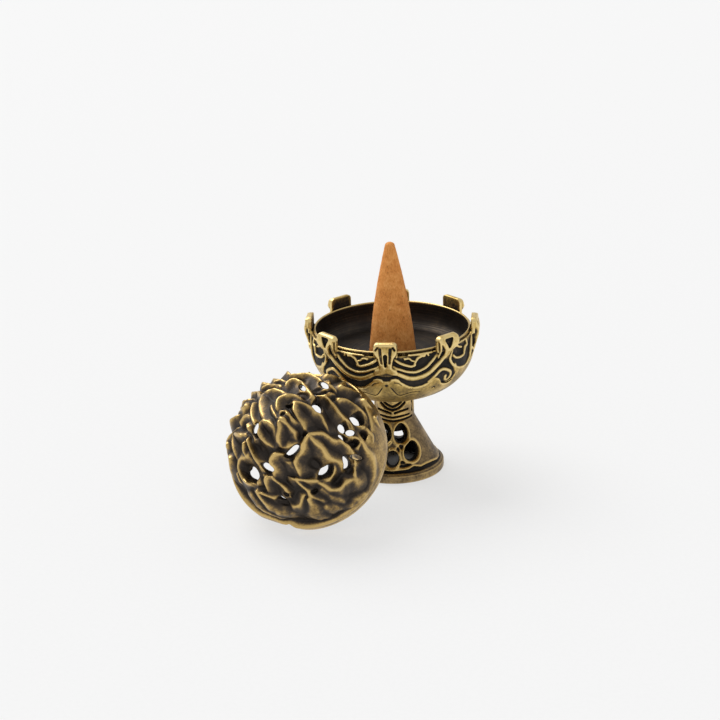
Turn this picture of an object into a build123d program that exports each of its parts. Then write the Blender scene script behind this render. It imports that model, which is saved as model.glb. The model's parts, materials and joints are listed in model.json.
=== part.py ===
from build123d import *
import math
import os

# Small brass incense burner in the "sacred mountain" form: a pierced pedestal foot, a cast
# bowl with eight claws round its rim, a turned dish for one incense cone, and a pierced
# mountain lid that lies beside the burner while the cone is lit.
# Millimetres, +Z up. The origin is the centre of the foot's underside, and -Y is the front.

# Foot
FOOT_RADIUS = 13.0
RING_HEIGHT = 2.2
RING_GROOVE_Z = 1.65
RING_GROOVE = 0.1
CONE_BOTTOM_RADIUS = 11.1
CONE_BOTTOM_Z = 3.9
CONE_TOP_RADIUS = 5.5
CONE_TOP_Z = 14.5
NECK_RADIUS = 5.3
NECK_TOP_Z = 21.2
HOLLOW_BOTTOM_RADIUS = 9.9
HOLLOW_TOP_RADIUS = 4.3
HOLLOW_STEP_Z = 2.5
HOLLOW_TOP_Z = 13.5

# Windows in the foot, one set for the front and one for the back:
# angle from the front, height, width, height along the slope, tilt
FOOT_WINDOWS = [
    (0, 5.9, 3.7, 4.5, 0),
    (18.6, 12.0, 3.6, 5.2, 0),
    (33.2, 7.4, 4.0, 5.5, 12),
]

# Bowl: widest at the equator, with a tighter arc up its side than under it
BOWL_RADIUS = 21.8
BOWL_EQUATOR_Z = 35.8
BOWL_BOTTOM_Z = 20.7
BOWL_SIDE_ARC = 13.0
LEDGE_Z = 39.2
SHOULDER_RADIUS = 16.0
BOSS_RADIUS = 4.2
BOSS_TOP_Z = 28.0
BOSS_ROOT = 0.6

# Floor and wall of the hollow under the dish, as radius and height
BOWL_HOLLOW = [(0.0, 22.9), (8.0, 23.4), (12.0, 24.7), (14.6, 26.6), (SHOULDER_RADIUS, 29.0)]

# Half length of the plugs that cut windows, holes and slots
PLUG_LENGTH = 3.0

# Claws round the bowl's rim: a blunt cap on a leg that narrows down the bowl's side
CLAW_COUNT = 8
CLAW_TOP_Z = 42.9
CLAW_CAP_Z = 40.7
CLAW_WIDTH = 6.2
CLAW_FOOT_WIDTH = 3.4
CLAW_CORNER = 1.1
CLAW_INNER_RADIUS = 20.95
CLAW_OUTER_RADIUS = 23.3
CLAW_BOTTOM_Z = 35.6
CLAW_BEVEL_WIDTH = 0.5
CLAW_BEVEL_Z = 41.7
CLAW_BELLY_Z = 40.0
CLAW_SLOT_Z = 38.2
CLAW_SLOT_WIDTH = 1.1
CLAW_SLOT_HEIGHT = 4.2
CLAW_SLOT_FLOOR = 22.7

# Turned dish
DISH_RADIUS = 20.7
LIP_WIDTH = 0.65
LIP_TOP_Z = 40.0
DISH_FLOOR_Z = 33.0
DISH_FLOOR_THICK = 1.0
DISH_FLOOR_RADIUS = 16.6
DISH_CORNER_IN = 0.9
DISH_CORNER_Z = 34.2
DISH_WALL_Z = 37.0
SEAT_CORNER_IN = 1.1
SEAT_CORNER_Z = 33.4
SEAT_WALL_Z = 36.6
SEAT_OVERHANG = 0.6

# Fastener that pulls the bowl down on the foot
SCREW_RADIUS = 2.0
SCREW_HEAD_RADIUS = 3.4
SCREW_HEAD_HEIGHT = 2.0
SCREW_HEAD_ROUND = 0.7
SCREW_SLOT_WIDTH = 0.8
SCREW_SLOT_DEPTH = 0.8
WASHER_RADIUS = 4.0
WASHER_THICK = 0.6
SCREW_TIP_Z = 26.0
RUNNING_GAP = 0.05
FREE_GAP = 0.15

# Incense cone
CONE_RADIUS = 6.25
CONE_HEIGHT = 29.9
CONE_TIP_RADIUS = 1.05
CONE_TIP_ANGLE = 15
CONE_SWELL_RADIUS = 3.75
CONE_SWELL_HEIGHT = 15.55

# Lid, in its own frame: z along the lid's axis from the rim's plane, x level
LID_RADIUS = 20.3
LID_WALL = 1.6
LID_PROFILE = [(20.2, 3.0), (18.6, 8.5), (15.3, 13.5), (10.0, 20.0), (5.2, 24.2)]
LID_TOP = 26.5

# Tiers of crags: count, first angle, tip height, tip radius, foot height, foot half-width
CRAG_TIERS = [
    (3, 20, 27.6, 2.2, 22.0, 2.6),
    (7, 10, 23.6, 9.4, 15.5, 3.0),
    (10, 8, 17.6, 15.6, 9.5, 3.0),
    (13, 0, 11.6, 20.2, 4.0, 2.9),
]
CRAG_TIP = 0.55
CRAG_FOOT_DEPTH = 0.9
CRAG_FOOT_THICK = 1.5

# The wall thins to these shares of LID_WALL, radially and in height, above its straight part
LID_THIN_SIDE = 0.8
LID_THIN_TOP = 0.6

# Smoke holes between the crags: angle, height, width, height along the wall
SMOKE_HOLES = [
    (16, 14.1, 3.0, 2.6),
    (1, 17.4, 2.1, 1.7),
    (348, 16.6, 2.1, 1.7),
    (24, 22.5, 3.4, 3.2),
    (75, 22.0, 2.4, 1.6),
    (59, 19.0, 2.4, 1.6),
    (202, 18.2, 1.8, 2.2),
    (278, 20.2, 3.4, 2.2),
    (240, 15.6, 3.0, 1.8),
    (228, 11.7, 3.0, 2.4),
    (308, 14.7, 3.2, 2.2),
    (331, 13.5, 2.6, 1.6),
    (261, 9.8, 1.8, 1.4),
    (100, 15.0, 3.0, 2.4),
    (128, 17.5, 2.8, 2.2),
    (160, 14.5, 2.8, 2.2),
    (80, 10.5, 2.6, 2.2),
]

# Lean of the smoke holes: at the rim, at the top, and how it grows between them
HOLE_LEAN_RIM = 12
HOLE_LEAN_GAIN = 60
HOLE_LEAN_POWER = 1.5
HOLE_DEPTH = 1.2

# Arched notch in the rim
NOTCH_ANGLE = 273
NOTCH_RADIUS = 3.2
NOTCH_DROP = 1.2

# The lid's place while it leans on the bowl: centre of the rim, and the axis's heading from
# the front (towards +X) and its rise above level
LID_CENTRE_X = -19.4
LID_CENTRE_Y = -29.0
LID_HEADING = -10.0
LID_RISE = 40.4


def polar(radius, degrees, z=0.0):
    """Point at an angle from the front (-Y), turning towards +X."""
    angle = math.radians(degrees)
    return Vector(radius * math.sin(angle), -radius * math.cos(angle), z)


def turned(*edges):
    """Solid of revolution about Z from a closed outline in the XZ plane."""
    with BuildPart() as part:
        with BuildSketch(Plane.XZ):
            with BuildLine():
                for edge in edges:
                    add(edge)
            make_face()
        revolve(axis=Axis.Z)
    return part.part


def turned_polygon(*points):
    """Solid of revolution about Z from a closed polygon of (radius, z) points."""
    with BuildPart() as part:
        with BuildSketch(Plane.XZ):
            with BuildLine():
                Polyline(*points, close=True)
            make_face()
        revolve(axis=Axis.Z)
    return part.part


def cylinder(radius, bottom, top):
    """Plain cylinder on the Z axis between two heights."""
    return Pos(0, 0, (bottom + top) / 2) * Cylinder(radius, top - bottom)


def window(radius, degrees, z, width, height, lean, tilt):
    """Oval plug that points outwards through a wall which leans back by lean degrees."""
    outward = polar(1, degrees) * math.cos(math.radians(lean))
    outward = outward + Vector(0, 0, math.sin(math.radians(lean)))
    level = polar(1, degrees + 90)
    plane = Plane(origin=polar(radius, degrees, z), x_dir=level, z_dir=outward)
    oval = plane * Rot(0, 0, tilt) * Ellipse(width / 2, height / 2)
    return extrude(oval, amount=PLUG_LENGTH, both=True)


def make_foot():
    """Hollow pierced cone on a base ring, with the neck that carries the bowl."""
    outside = turned_polygon(
        (0, 0),
        (FOOT_RADIUS, 0),
        (FOOT_RADIUS, RING_GROOVE_Z - RING_GROOVE),
        (FOOT_RADIUS - RING_GROOVE, RING_GROOVE_Z),
        (FOOT_RADIUS, RING_GROOVE_Z + RING_GROOVE),
        (FOOT_RADIUS, RING_HEIGHT),
        (FOOT_RADIUS - 0.4, RING_HEIGHT + 0.3),
        (FOOT_RADIUS - 1.2, RING_HEIGHT + 0.5),
        (CONE_BOTTOM_RADIUS, CONE_BOTTOM_Z),
        (CONE_TOP_RADIUS, CONE_TOP_Z),
        (NECK_RADIUS, CONE_TOP_Z + 0.5),
        (NECK_RADIUS, NECK_TOP_Z),
        (0, NECK_TOP_Z),
    )
    hollow = turned_polygon(
        (0, 0),
        (HOLLOW_BOTTOM_RADIUS, 0),
        (HOLLOW_BOTTOM_RADIUS, HOLLOW_STEP_Z),
        (HOLLOW_TOP_RADIUS, HOLLOW_TOP_Z),
        (0, HOLLOW_TOP_Z),
    )
    foot = outside - hollow - cylinder(SCREW_RADIUS + FREE_GAP, HOLLOW_TOP_Z, NECK_TOP_Z)
    slope = math.atan2(CONE_BOTTOM_RADIUS - CONE_TOP_RADIUS, CONE_TOP_Z - CONE_BOTTOM_Z)
    for centre in (0, 180):
        for degrees, z, width, height, tilt in FOOT_WINDOWS:
            radius = CONE_BOTTOM_RADIUS - (z - CONE_BOTTOM_Z) * math.tan(slope)
            sides = (1,) if degrees == 0 else (1, -1)
            for side in sides:
                angle = centre + side * degrees
                foot -= window(radius, angle, z, width, height, math.degrees(slope), -side * tilt)
    return foot


def bowl_arcs():
    """Outline of the bowl: a wide arc under it, and a tighter tangent arc up its side."""
    side_x = BOWL_RADIUS - BOWL_SIDE_ARC
    depth = BOWL_EQUATOR_Z - BOWL_BOTTOM_Z
    base_arc = (side_x**2 + depth**2 - BOWL_SIDE_ARC**2) / (2 * (depth - BOWL_SIDE_ARC))
    base_z = BOWL_BOTTOM_Z + base_arc
    low = -math.degrees(math.asin((base_z - NECK_TOP_Z) / base_arc))
    join = -math.degrees(math.atan2(base_z - BOWL_EQUATOR_Z, side_x))
    high = math.degrees(math.asin((LEDGE_Z - BOWL_EQUATOR_Z) / BOWL_SIDE_ARC))
    base = CenterArc((0, base_z), base_arc, low, join - low)
    wall = CenterArc((side_x, BOWL_EQUATOR_Z), BOWL_SIDE_ARC, join, high - join)
    return base, wall


def make_bowl_shell():
    """Cast outer bowl: ledge, seat for the dish, hollow with a boss, and the claws."""
    seat_z = DISH_FLOOR_Z - DISH_FLOOR_THICK
    base, wall = bowl_arcs()
    outside = turned(
        base,
        wall,
        Line(wall @ 1, (0, LEDGE_Z)),
        Line((0, LEDGE_Z), (0, NECK_TOP_Z)),
        Line((0, NECK_TOP_Z), base @ 0),
    )
    hollow = turned_polygon(*BOWL_HOLLOW, (SHOULDER_RADIUS, seat_z), (0, seat_z))
    shell = outside + make_claws() - hollow - dish_outside()
    shell += cylinder(BOSS_RADIUS, NECK_TOP_Z + BOSS_ROOT, BOSS_TOP_Z)
    return shell - cylinder(SCREW_RADIUS + RUNNING_GAP, NECK_TOP_Z - 1, SCREW_TIP_Z + 0.5)


def make_claw():
    """One blunt claw on the front of the bowl, with a slot down its face."""
    side = Polygon(
        (CLAW_INNER_RADIUS, CLAW_TOP_Z),
        (CLAW_OUTER_RADIUS - CLAW_BEVEL_WIDTH, CLAW_TOP_Z),
        (CLAW_OUTER_RADIUS, CLAW_BEVEL_Z),
        (CLAW_OUTER_RADIUS - 0.1, CLAW_BELLY_Z),
        (BOWL_RADIUS + 0.3, CLAW_BOTTOM_Z),
        (BOWL_RADIUS - 0.8, CLAW_BOTTOM_Z - 0.8),
        (CLAW_INNER_RADIUS, CLAW_BOTTOM_Z),
        align=None,
    )
    side_plane = Plane(origin=(0, 0, 0), x_dir=(0, -1, 0), z_dir=(-1, 0, 0))
    slab = extrude(side_plane * side, amount=CLAW_WIDTH, both=True)
    foot_z = CLAW_BOTTOM_Z - 1
    front = Polygon(
        (-CLAW_WIDTH / 2, CLAW_TOP_Z),
        (CLAW_WIDTH / 2, CLAW_TOP_Z),
        (CLAW_WIDTH / 2, CLAW_CAP_Z),
        (CLAW_FOOT_WIDTH / 2, foot_z),
        (-CLAW_FOOT_WIDTH / 2, foot_z),
        (-CLAW_WIDTH / 2, CLAW_CAP_Z),
        align=None,
    )
    front = fillet(front.vertices().group_by(Axis.Y)[-1], CLAW_CORNER)
    front_plane = Plane(origin=(0, -CLAW_INNER_RADIUS, 0), x_dir=(1, 0, 0), z_dir=(0, -1, 0))
    outline = extrude(front_plane * front, amount=CLAW_WIDTH, both=True)
    slot = window(
        CLAW_SLOT_FLOOR + PLUG_LENGTH, 0, CLAW_SLOT_Z, CLAW_SLOT_WIDTH, CLAW_SLOT_HEIGHT, 0, 0
    )
    return (slab & outline) - slot


def make_claws():
    """The ring of claws that holds the seated lid in place."""
    claws = None
    for i in range(CLAW_COUNT):
        claw = Rot(0, 0, i * 360 / CLAW_COUNT) * make_claw()
        claws = claw if claws is None else claws + claw
    return claws


def dish_outside():
    """Outer shape of the turned dish, which is also the bowl's seat for it."""
    seat_z = DISH_FLOOR_Z - DISH_FLOOR_THICK
    flat = DISH_FLOOR_RADIUS + SEAT_OVERHANG
    corner = (DISH_RADIUS - SEAT_CORNER_IN, SEAT_CORNER_Z)
    return turned(
        Line((0, seat_z), (flat, seat_z)),
        ThreePointArc((flat, seat_z), corner, (DISH_RADIUS, SEAT_WALL_Z)),
        Line((DISH_RADIUS, SEAT_WALL_Z), (DISH_RADIUS, LIP_TOP_Z)),
        Line((DISH_RADIUS, LIP_TOP_Z), (0, LIP_TOP_Z)),
        Line((0, LIP_TOP_Z), (0, seat_z)),
    )


def make_dish():
    """Thin turned dish with a proud lip and a flat floor."""
    inner = DISH_RADIUS - LIP_WIDTH
    corner = (inner - DISH_CORNER_IN, DISH_CORNER_Z)
    inside = turned(
        Line((0, DISH_FLOOR_Z), (DISH_FLOOR_RADIUS, DISH_FLOOR_Z)),
        ThreePointArc((DISH_FLOOR_RADIUS, DISH_FLOOR_Z), corner, (inner, DISH_WALL_Z)),
        Line((inner, DISH_WALL_Z), (inner, LIP_TOP_Z + 1)),
        Line((inner, LIP_TOP_Z + 1), (0, LIP_TOP_Z + 1)),
        Line((0, LIP_TOP_Z + 1), (0, DISH_FLOOR_Z)),
    )
    return dish_outside() - inside


def make_screw():
    """Pan-head screw up through the neck into the bowl's boss, its thread left plain."""
    head_top = HOLLOW_TOP_Z - WASHER_THICK
    shank = cylinder(SCREW_RADIUS, head_top, SCREW_TIP_Z)
    head = cylinder(SCREW_HEAD_RADIUS, head_top - SCREW_HEAD_HEIGHT, head_top)
    head = fillet(head.edges().group_by(Axis.Z)[0], SCREW_HEAD_ROUND)
    slot = Box(2 * SCREW_HEAD_RADIUS + 1, SCREW_SLOT_WIDTH, 2 * SCREW_SLOT_DEPTH)
    return shank + head - Pos(0, 0, head_top - SCREW_HEAD_HEIGHT) * slot


def make_washer():
    """Flat washer between the screw's head and the top of the foot's hollow."""
    bottom = HOLLOW_TOP_Z - WASHER_THICK
    disc = cylinder(WASHER_RADIUS, bottom, HOLLOW_TOP_Z)
    return disc - cylinder(SCREW_RADIUS + FREE_GAP, bottom - 1, HOLLOW_TOP_Z + 1)


def make_incense_cone():
    """Pressed incense cone with slightly swelling sides and a rounded tip."""
    base = DISH_FLOOR_Z
    tip = base + CONE_HEIGHT
    swell = (CONE_SWELL_RADIUS, base + CONE_SWELL_HEIGHT)
    cap = CenterArc((0, tip - CONE_TIP_RADIUS), CONE_TIP_RADIUS, CONE_TIP_ANGLE, 90 - CONE_TIP_ANGLE)
    return turned(
        Line((0, base), (CONE_RADIUS, base)),
        ThreePointArc((CONE_RADIUS, base), swell, cap @ 0),
        cap,
        Line(cap @ 1, (0, base)),
    )


def lid_radius_at(height):
    """Outer radius of the lid's smooth dome at a height above its rim."""
    points = [(LID_RADIUS, 0.0)] + LID_PROFILE + [(0.0, LID_TOP)]
    for (r0, h0), (r1, h1) in zip(points, points[1:]):
        if h0 <= height <= h1:
            return r0 + (r1 - r0) * (height - h0) / (h1 - h0)
    return 0.0


def lid_dome(offset):
    """Solid dome, smaller than the lid's smooth outside by offset."""
    wall = [(radius - offset, height) for radius, height in LID_PROFILE[:1]]
    side, drop = offset * LID_THIN_SIDE, offset * LID_THIN_TOP
    rest = [(radius - side, height - drop) for radius, height in LID_PROFILE[1:]]
    rim = (LID_RADIUS - offset, 0.0)
    top = (0.0, LID_TOP - offset)
    return turned(
        Line((0, 0), rim),
        Line(rim, wall[0]),
        Spline(*wall, *rest, top, tangents=[(-0.05, 1), (-1, 0)]),
        Line(top, (0, 0)),
    )


def crag(angle, tip_height, tip_radius, foot_height, half_width):
    """One leaf-shaped crag, from a wide foot inside the wall to a narrow tip."""
    foot = polar(lid_radius_at(foot_height) - CRAG_FOOT_DEPTH, angle, foot_height)
    tip = polar(tip_radius, angle, tip_height)
    axis = (tip - foot).normalized()
    level = polar(1, angle + 90)
    low = Plane(origin=foot - axis / 2, x_dir=level, z_dir=axis)
    low = low * Ellipse(half_width, CRAG_FOOT_THICK)
    high = Plane(origin=tip, x_dir=level, z_dir=axis) * Ellipse(CRAG_TIP, CRAG_TIP * 0.8)
    return loft([low.face(), high.face()], ruled=True)


def make_lid_level():
    """Pierced mountain lid in its own frame, standing on its rim."""
    lid = lid_dome(0.0)
    for count, first, tip_height, tip_radius, foot_height, half_width in CRAG_TIERS:
        for i in range(count):
            lid += crag(first + i * 360 / count, tip_height, tip_radius, foot_height, half_width)
    lid -= lid_dome(LID_WALL)
    for angle, height, width, tall in SMOKE_HOLES:
        lean = HOLE_LEAN_RIM + HOLE_LEAN_GAIN * (height / LID_TOP) ** HOLE_LEAN_POWER
        radius = lid_radius_at(height) - HOLE_DEPTH
        lid -= window(radius, 90 + angle, height, width, tall, lean, 0)
    arch = Plane(
        origin=polar(LID_RADIUS - 4, 90 + NOTCH_ANGLE, -NOTCH_DROP),
        x_dir=polar(1, 180 + NOTCH_ANGLE),
        z_dir=polar(1, 90 + NOTCH_ANGLE),
    )
    lid -= extrude(arch * Circle(NOTCH_RADIUS), amount=8)
    # a smoke hole can cut the end of a crag free, and the casting is the largest solid
    return lid.solids().sort_by(SortBy.VOLUME)[-1]


def lid_plane():
    """The lid's own frame while it leans on the bowl with its rim on the table."""
    rise = math.radians(LID_RISE)
    axis = polar(math.cos(rise), LID_HEADING, math.sin(rise))
    centre_z = LID_RADIUS * math.cos(rise)
    centre = Vector(LID_CENTRE_X, LID_CENTRE_Y, centre_z)
    return Plane(origin=centre, x_dir=polar(1, LID_HEADING + 90), z_dir=axis)


def make_lid():
    """The lid in the place where it leans."""
    return lid_plane().location * make_lid_level()


def main():
    os.makedirs("parts", exist_ok=True)
    parts = {
        "foot": make_foot(),
        "bowl_shell": make_bowl_shell(),
        "dish_liner": make_dish(),
        "bowl_screw": make_screw(),
        "screw_washer": make_washer(),
        "incense_cone": make_incense_cone(),
        "lid": make_lid(),
    }
    for name, shape in parts.items():
        export_step(shape, f"parts/{name}.step")
        print(name, len(shape.solids()), round(shape.volume, 1), shape.bounding_box())


main()
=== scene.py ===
import itertools
import json
import math
import bpy
import numpy as np
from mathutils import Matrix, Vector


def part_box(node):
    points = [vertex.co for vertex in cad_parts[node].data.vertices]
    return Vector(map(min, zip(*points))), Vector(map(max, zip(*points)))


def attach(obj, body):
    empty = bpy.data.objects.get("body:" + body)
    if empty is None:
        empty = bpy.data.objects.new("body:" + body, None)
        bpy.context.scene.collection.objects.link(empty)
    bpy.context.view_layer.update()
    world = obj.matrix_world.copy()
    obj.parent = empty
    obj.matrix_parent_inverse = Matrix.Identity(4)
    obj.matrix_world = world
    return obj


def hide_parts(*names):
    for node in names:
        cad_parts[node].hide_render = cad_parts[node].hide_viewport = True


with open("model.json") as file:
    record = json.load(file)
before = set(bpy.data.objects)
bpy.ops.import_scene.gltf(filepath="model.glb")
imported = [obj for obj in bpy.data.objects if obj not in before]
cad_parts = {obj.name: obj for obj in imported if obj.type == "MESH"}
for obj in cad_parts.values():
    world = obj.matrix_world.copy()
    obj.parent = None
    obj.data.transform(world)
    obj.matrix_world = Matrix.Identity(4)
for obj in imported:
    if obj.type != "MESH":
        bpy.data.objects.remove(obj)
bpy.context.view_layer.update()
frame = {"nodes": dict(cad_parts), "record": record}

import openvdb
from mathutils import Matrix, Vector

# Incense burner in antiqued cast brass. The castings (foot, bowl and lid) are sculpted as
# distance volumes in millimetres and turned into meshes; the turned dish and the incense cone
# are lathe meshes. Angles on the foot and the bowl run from the front (-Y) towards +X.

MM = 0.001


# ------------------------------------------------------------------ the frame's sizes, in mm

def box_mm(node):
    """A CAD node's lowest and highest corners in millimetres."""
    return [np.array(corner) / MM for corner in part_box(node)]


FOOT_RADIUS, _, NECK_TOP = box_mm("foot")[1]
CLAW_OUTER, _, CLAW_TOP = box_mm("bowl_shell")[1]
DISH_RADIUS, _, LIP_TOP = box_mm("dish_liner")[1]
CONE_RADIUS, _, CONE_TIP = box_mm("incense_cone")[1]
DISH_BOTTOM = box_mm("dish_liner")[0][2]
CONE_BASE = box_mm("incense_cone")[0][2]

# The bowl's outside is two arcs: its widest radius and the height of that, its lowest point, and
# the radius of the arc at the side. The ledge is its flat top, under the claws.
BOWL_RADIUS = 21.8
BOWL_EQUATOR = 35.8
BOWL_BOTTOM = 20.7
BOWL_SIDE_ARC = 13.0
LEDGE = 39.2
LID_RADIUS = 20.3
LID_OUTLINE = [(20.3, 0.0), (20.2, 3.0), (18.6, 8.5), (15.3, 13.5), (10.0, 20.0), (5.2, 24.2), (0.0, 26.5)]


def lid_frame():
    """Matrix from the lid's own frame (z up its axis, x level, origin at the rim's centre)."""
    axis = None
    for joint in frame["record"]["behaviour"]["joints"]:
        if joint["name"] == "lid_lift":
            axis = Vector(joint["axis"]).normalized()
    level = Vector((-axis.y, axis.x, 0.0)).normalized()
    upward = axis.cross(level)
    points = [vertex.co for vertex in frame["nodes"]["lid"].data.vertices]
    lowest = min(point.dot(axis) for point in points)
    rim = [point for point in points if point.dot(axis) < lowest + 0.02 * MM]
    across = [point.dot(level) for point in rim]
    centre = level * ((min(across) + max(across)) / 2)
    centre += upward * (max(point.dot(upward) for point in rim) - LID_RADIUS * MM)
    centre += axis * lowest
    turn = Matrix((level, upward, axis)).transposed().to_4x4()
    return Matrix.Translation(centre) @ turn


# ------------------------------------------------------------------ curves and tables

def smoothstep(x):
    x = np.clip(x, 0.0, 1.0)
    return x * x * (3.0 - 2.0 * x)


def smooth_min(a, b, k):
    h = np.clip(0.5 + 0.5 * (b - a) / k, 0.0, 1.0)
    return b + (a - b) * h - k * h * (1.0 - h)


def smooth_max(a, b, k):
    return -smooth_min(-a, -b, k)


def turn_between(start, end):
    """Degrees from one angle to another, the short way round."""
    return (end - start + 180.0) % 360.0 - 180.0


def folded_angle(x, y):
    """Degrees from the nearer of the front and the back, 0 to 90."""
    angle = np.abs(np.degrees(np.arctan2(x, -y)))
    return np.minimum(angle, 180 - angle)


def oval(x, y, half_wide, half_tall, tilt):
    """Rough signed distance from an oval about the origin, turned anticlockwise by the tilt."""
    c, s = math.cos(math.radians(tilt)), math.sin(math.radians(tilt))
    away = np.hypot((c * x + s * y) / half_wide, (c * y - s * x) / half_tall)
    return (away - 1.0) * min(half_wide, half_tall)


def to_segment(x, y, start, end):
    """The nearest place on a segment, as a share of its length, and the distance to it."""
    dx, dy = end[0] - start[0], end[1] - start[1]
    share = ((x - start[0]) * dx + (y - start[1]) * dy) / (dx * dx + dy * dy + 1e-12)
    share = np.clip(share, 0.0, 1.0)
    return share, np.hypot(x - start[0] - share * dx, y - start[1] - share * dy)


def curve_through(points, steps=8):
    """Dense points of a Catmull-Rom curve through the given tuples."""
    p = np.array(points, dtype=float)
    p = np.vstack([2 * p[0] - p[1], p, 2 * p[-1] - p[-2]])
    dense = []
    for i in range(1, len(p) - 2):
        for t in np.arange(steps) / steps:
            a = 2 * p[i]
            b = (p[i + 1] - p[i - 1]) * t
            c = (2 * p[i - 1] - 5 * p[i] + 4 * p[i + 1] - p[i + 2]) * t ** 2
            d = (3 * p[i] - p[i - 1] - 3 * p[i + 1] + p[i + 2]) * t ** 3
            dense.append(0.5 * (a + b + c + d))
    dense.append(p[-2])
    return np.array(dense)


def arc_points(centre, radius, start, end, count=24):
    """Points on an arc in the (radius, height) plane, angles in degrees."""
    angles = np.radians(np.linspace(start, end, count))
    return [(centre[0] + radius * math.cos(a), centre[1] + radius * math.sin(a)) for a in angles]


def polygon_distance(points, r, z):
    """Signed distance from a closed polygon, negative inside."""
    best = np.full(r.shape, 1e9)
    inside = np.zeros(r.shape, bool)
    for start, end in zip(points, points[1:] + points[:1]):
        best = np.minimum(best, to_segment(r, z, start, end)[1])
        dr, dz = end[0] - start[0], end[1] - start[1]
        if dz != 0.0:
            inside ^= ((start[1] <= z) != (end[1] <= z)) & (r < start[0] + (z - start[1]) * dr / dz)
    return np.where(inside, -best, best)


def look_up(table, *places):
    """Linear value between a table's entries, at a fractional index along each of its axes."""
    cells, shares = [], []
    for place, size in zip(places, table.shape):
        place = np.clip(place, 0.0, size - 1.001)
        cells.append(place.astype(np.int32))
        shares.append((place - cells[-1]).astype(np.float32))
    total = 0.0
    for corner in itertools.product((0, 1), repeat=len(places)):
        weight = 1.0
        for step, share in zip(corner, shares):
            weight = weight * (share if step else 1 - share)
        total = total + weight * table[tuple(cell + step for cell, step in zip(cells, corner))]
    return total


class TurnedSolid:
    """Signed distance from a turned solid, kept as a table over (radius, height)."""
    STEP = 0.08

    def __init__(self, outline, z_low, z_high, r_high=27.0):
        self.z_low = z_low
        radii, heights = np.arange(0.0, r_high, self.STEP), np.arange(z_low, z_high, self.STEP)
        r, z = np.meshgrid(radii, heights, indexing="ij")
        self.table = polygon_distance(outline, r, z).astype(np.float32)

    def __call__(self, r, z):
        return look_up(self.table, r / self.STEP, (z - self.z_low) / self.STEP)


class Relief:
    """Height map over a turned surface: angle in degrees by distance along the outline."""
    STEP = 0.12

    def __init__(self, outline, angle_low, angle_high, angle_step):
        self.outline = np.array(outline, dtype=float)
        lengths = np.hypot(*np.diff(self.outline, axis=0).T)
        self.at = np.concatenate([[0.0], np.cumsum(lengths)])
        self.angle_low = angle_low
        self.angle_step = angle_step
        angles = np.arange(angle_low, angle_high + angle_step, angle_step)
        along = np.arange(0.0, self.at[-1] + self.STEP, self.STEP)
        self.a, self.s = np.meshgrid(angles, along, indexing="ij")
        self.place = self.point(self.a, self.s)
        self.normal = self.outward(self.a, self.s)
        self.height = np.zeros(self.a.shape)

    def point(self, angle, along):
        """Place in the turned form's own frame."""
        r = np.interp(along, self.at, self.outline[:, 0])
        z = np.interp(along, self.at, self.outline[:, 1])
        turn = np.radians(angle)
        return np.stack([r * np.cos(turn), r * np.sin(turn), z], axis=-1)

    def outward(self, angle, along):
        """Outward direction of the smooth surface."""
        ahead = np.clip(along + 0.4, 0.0, self.at[-1])
        behind = np.clip(along - 0.4, 0.0, self.at[-1])
        dr, dz = [np.interp(ahead, self.at, values) - np.interp(behind, self.at, values)
                  for values in self.outline.T]
        size = np.hypot(dr, dz) + 1e-9
        turn = np.radians(angle)
        return np.stack([dz / size * np.cos(turn), dz / size * np.sin(turn), -dr / size], axis=-1)

    def at_heights(self, points):
        """Curve points given by (angle, height) as (angle, distance along the outline)."""
        return [(angle, float(self.along_at(z))) for angle, z in points]

    def along_at(self, z):
        """Distance along the outline at a height."""
        return np.interp(z, self.outline[:, 1], self.at)

    def measure(self, points, reach):
        """Cells near a curve: mask, distance, side (+1 on its left from outside), third value."""
        line = curve_through(points)
        places = self.point(line[:, 0], line[:, 1])
        low = places.min(axis=0) - reach
        high = places.max(axis=0) + reach
        mask = np.all((self.place > low) & (self.place < high), axis=-1)
        cells = self.place[mask]
        normals = self.normal[mask]
        distance = np.full(len(cells), 1e9)
        side = np.zeros(len(cells))
        value = np.zeros(len(cells))
        extra = line[:, 2] if line.shape[1] > 2 else np.ones(len(line))
        for i in range(len(places) - 1):
            run = places[i + 1] - places[i]
            length = np.dot(run, run) + 1e-12
            t = np.clip((cells - places[i]) @ run / length, 0.0, 1.0)
            gap = cells - places[i] - t[:, None] * run
            d = np.sqrt((gap * gap).sum(axis=1))
            nearer = d < distance
            distance[nearer] = d[nearer]
            left = np.cross(normals[nearer], run)
            side[nearer] = (gap[nearer] * left).sum(axis=1)
            value[nearer] = (extra[i] + t * (extra[i + 1] - extra[i]))[nearer]
        return mask, distance, np.sign(side), value

    def sample(self, table, angle, along):
        return look_up(table, (angle - self.angle_low) / self.angle_step, along / self.STEP)

    def settle(self):
        """Works out how steep the finished height map is, for scaling distances."""
        by_angle, by_along = np.gradient(self.height)
        reach = np.maximum(np.hypot(self.place[..., 0], self.place[..., 1]), 0.6)
        tangential = by_angle / (reach * math.radians(self.angle_step))
        self.steep = np.sqrt(1.0 + tangential ** 2 + (by_along / self.STEP) ** 2).astype(np.float32)
        return self

    def raised(self, smooth, angle, along):
        """The smooth form's distance with the height map standing on it."""
        return (smooth - self.sample(self.height, angle, along)) / self.sample(self.steep, angle, along)


# ------------------------------------------------------------------ volumes and meshes

# How far the lid's shape is averaged where it is softened
SOFTENING = 0.2
# Each attribute that tells how far a place stands out: over what reach, and what counts as fully
STANDING_OUT = (("crest", 0.3, 0.10), ("form", 1.1, 0.45))


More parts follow.
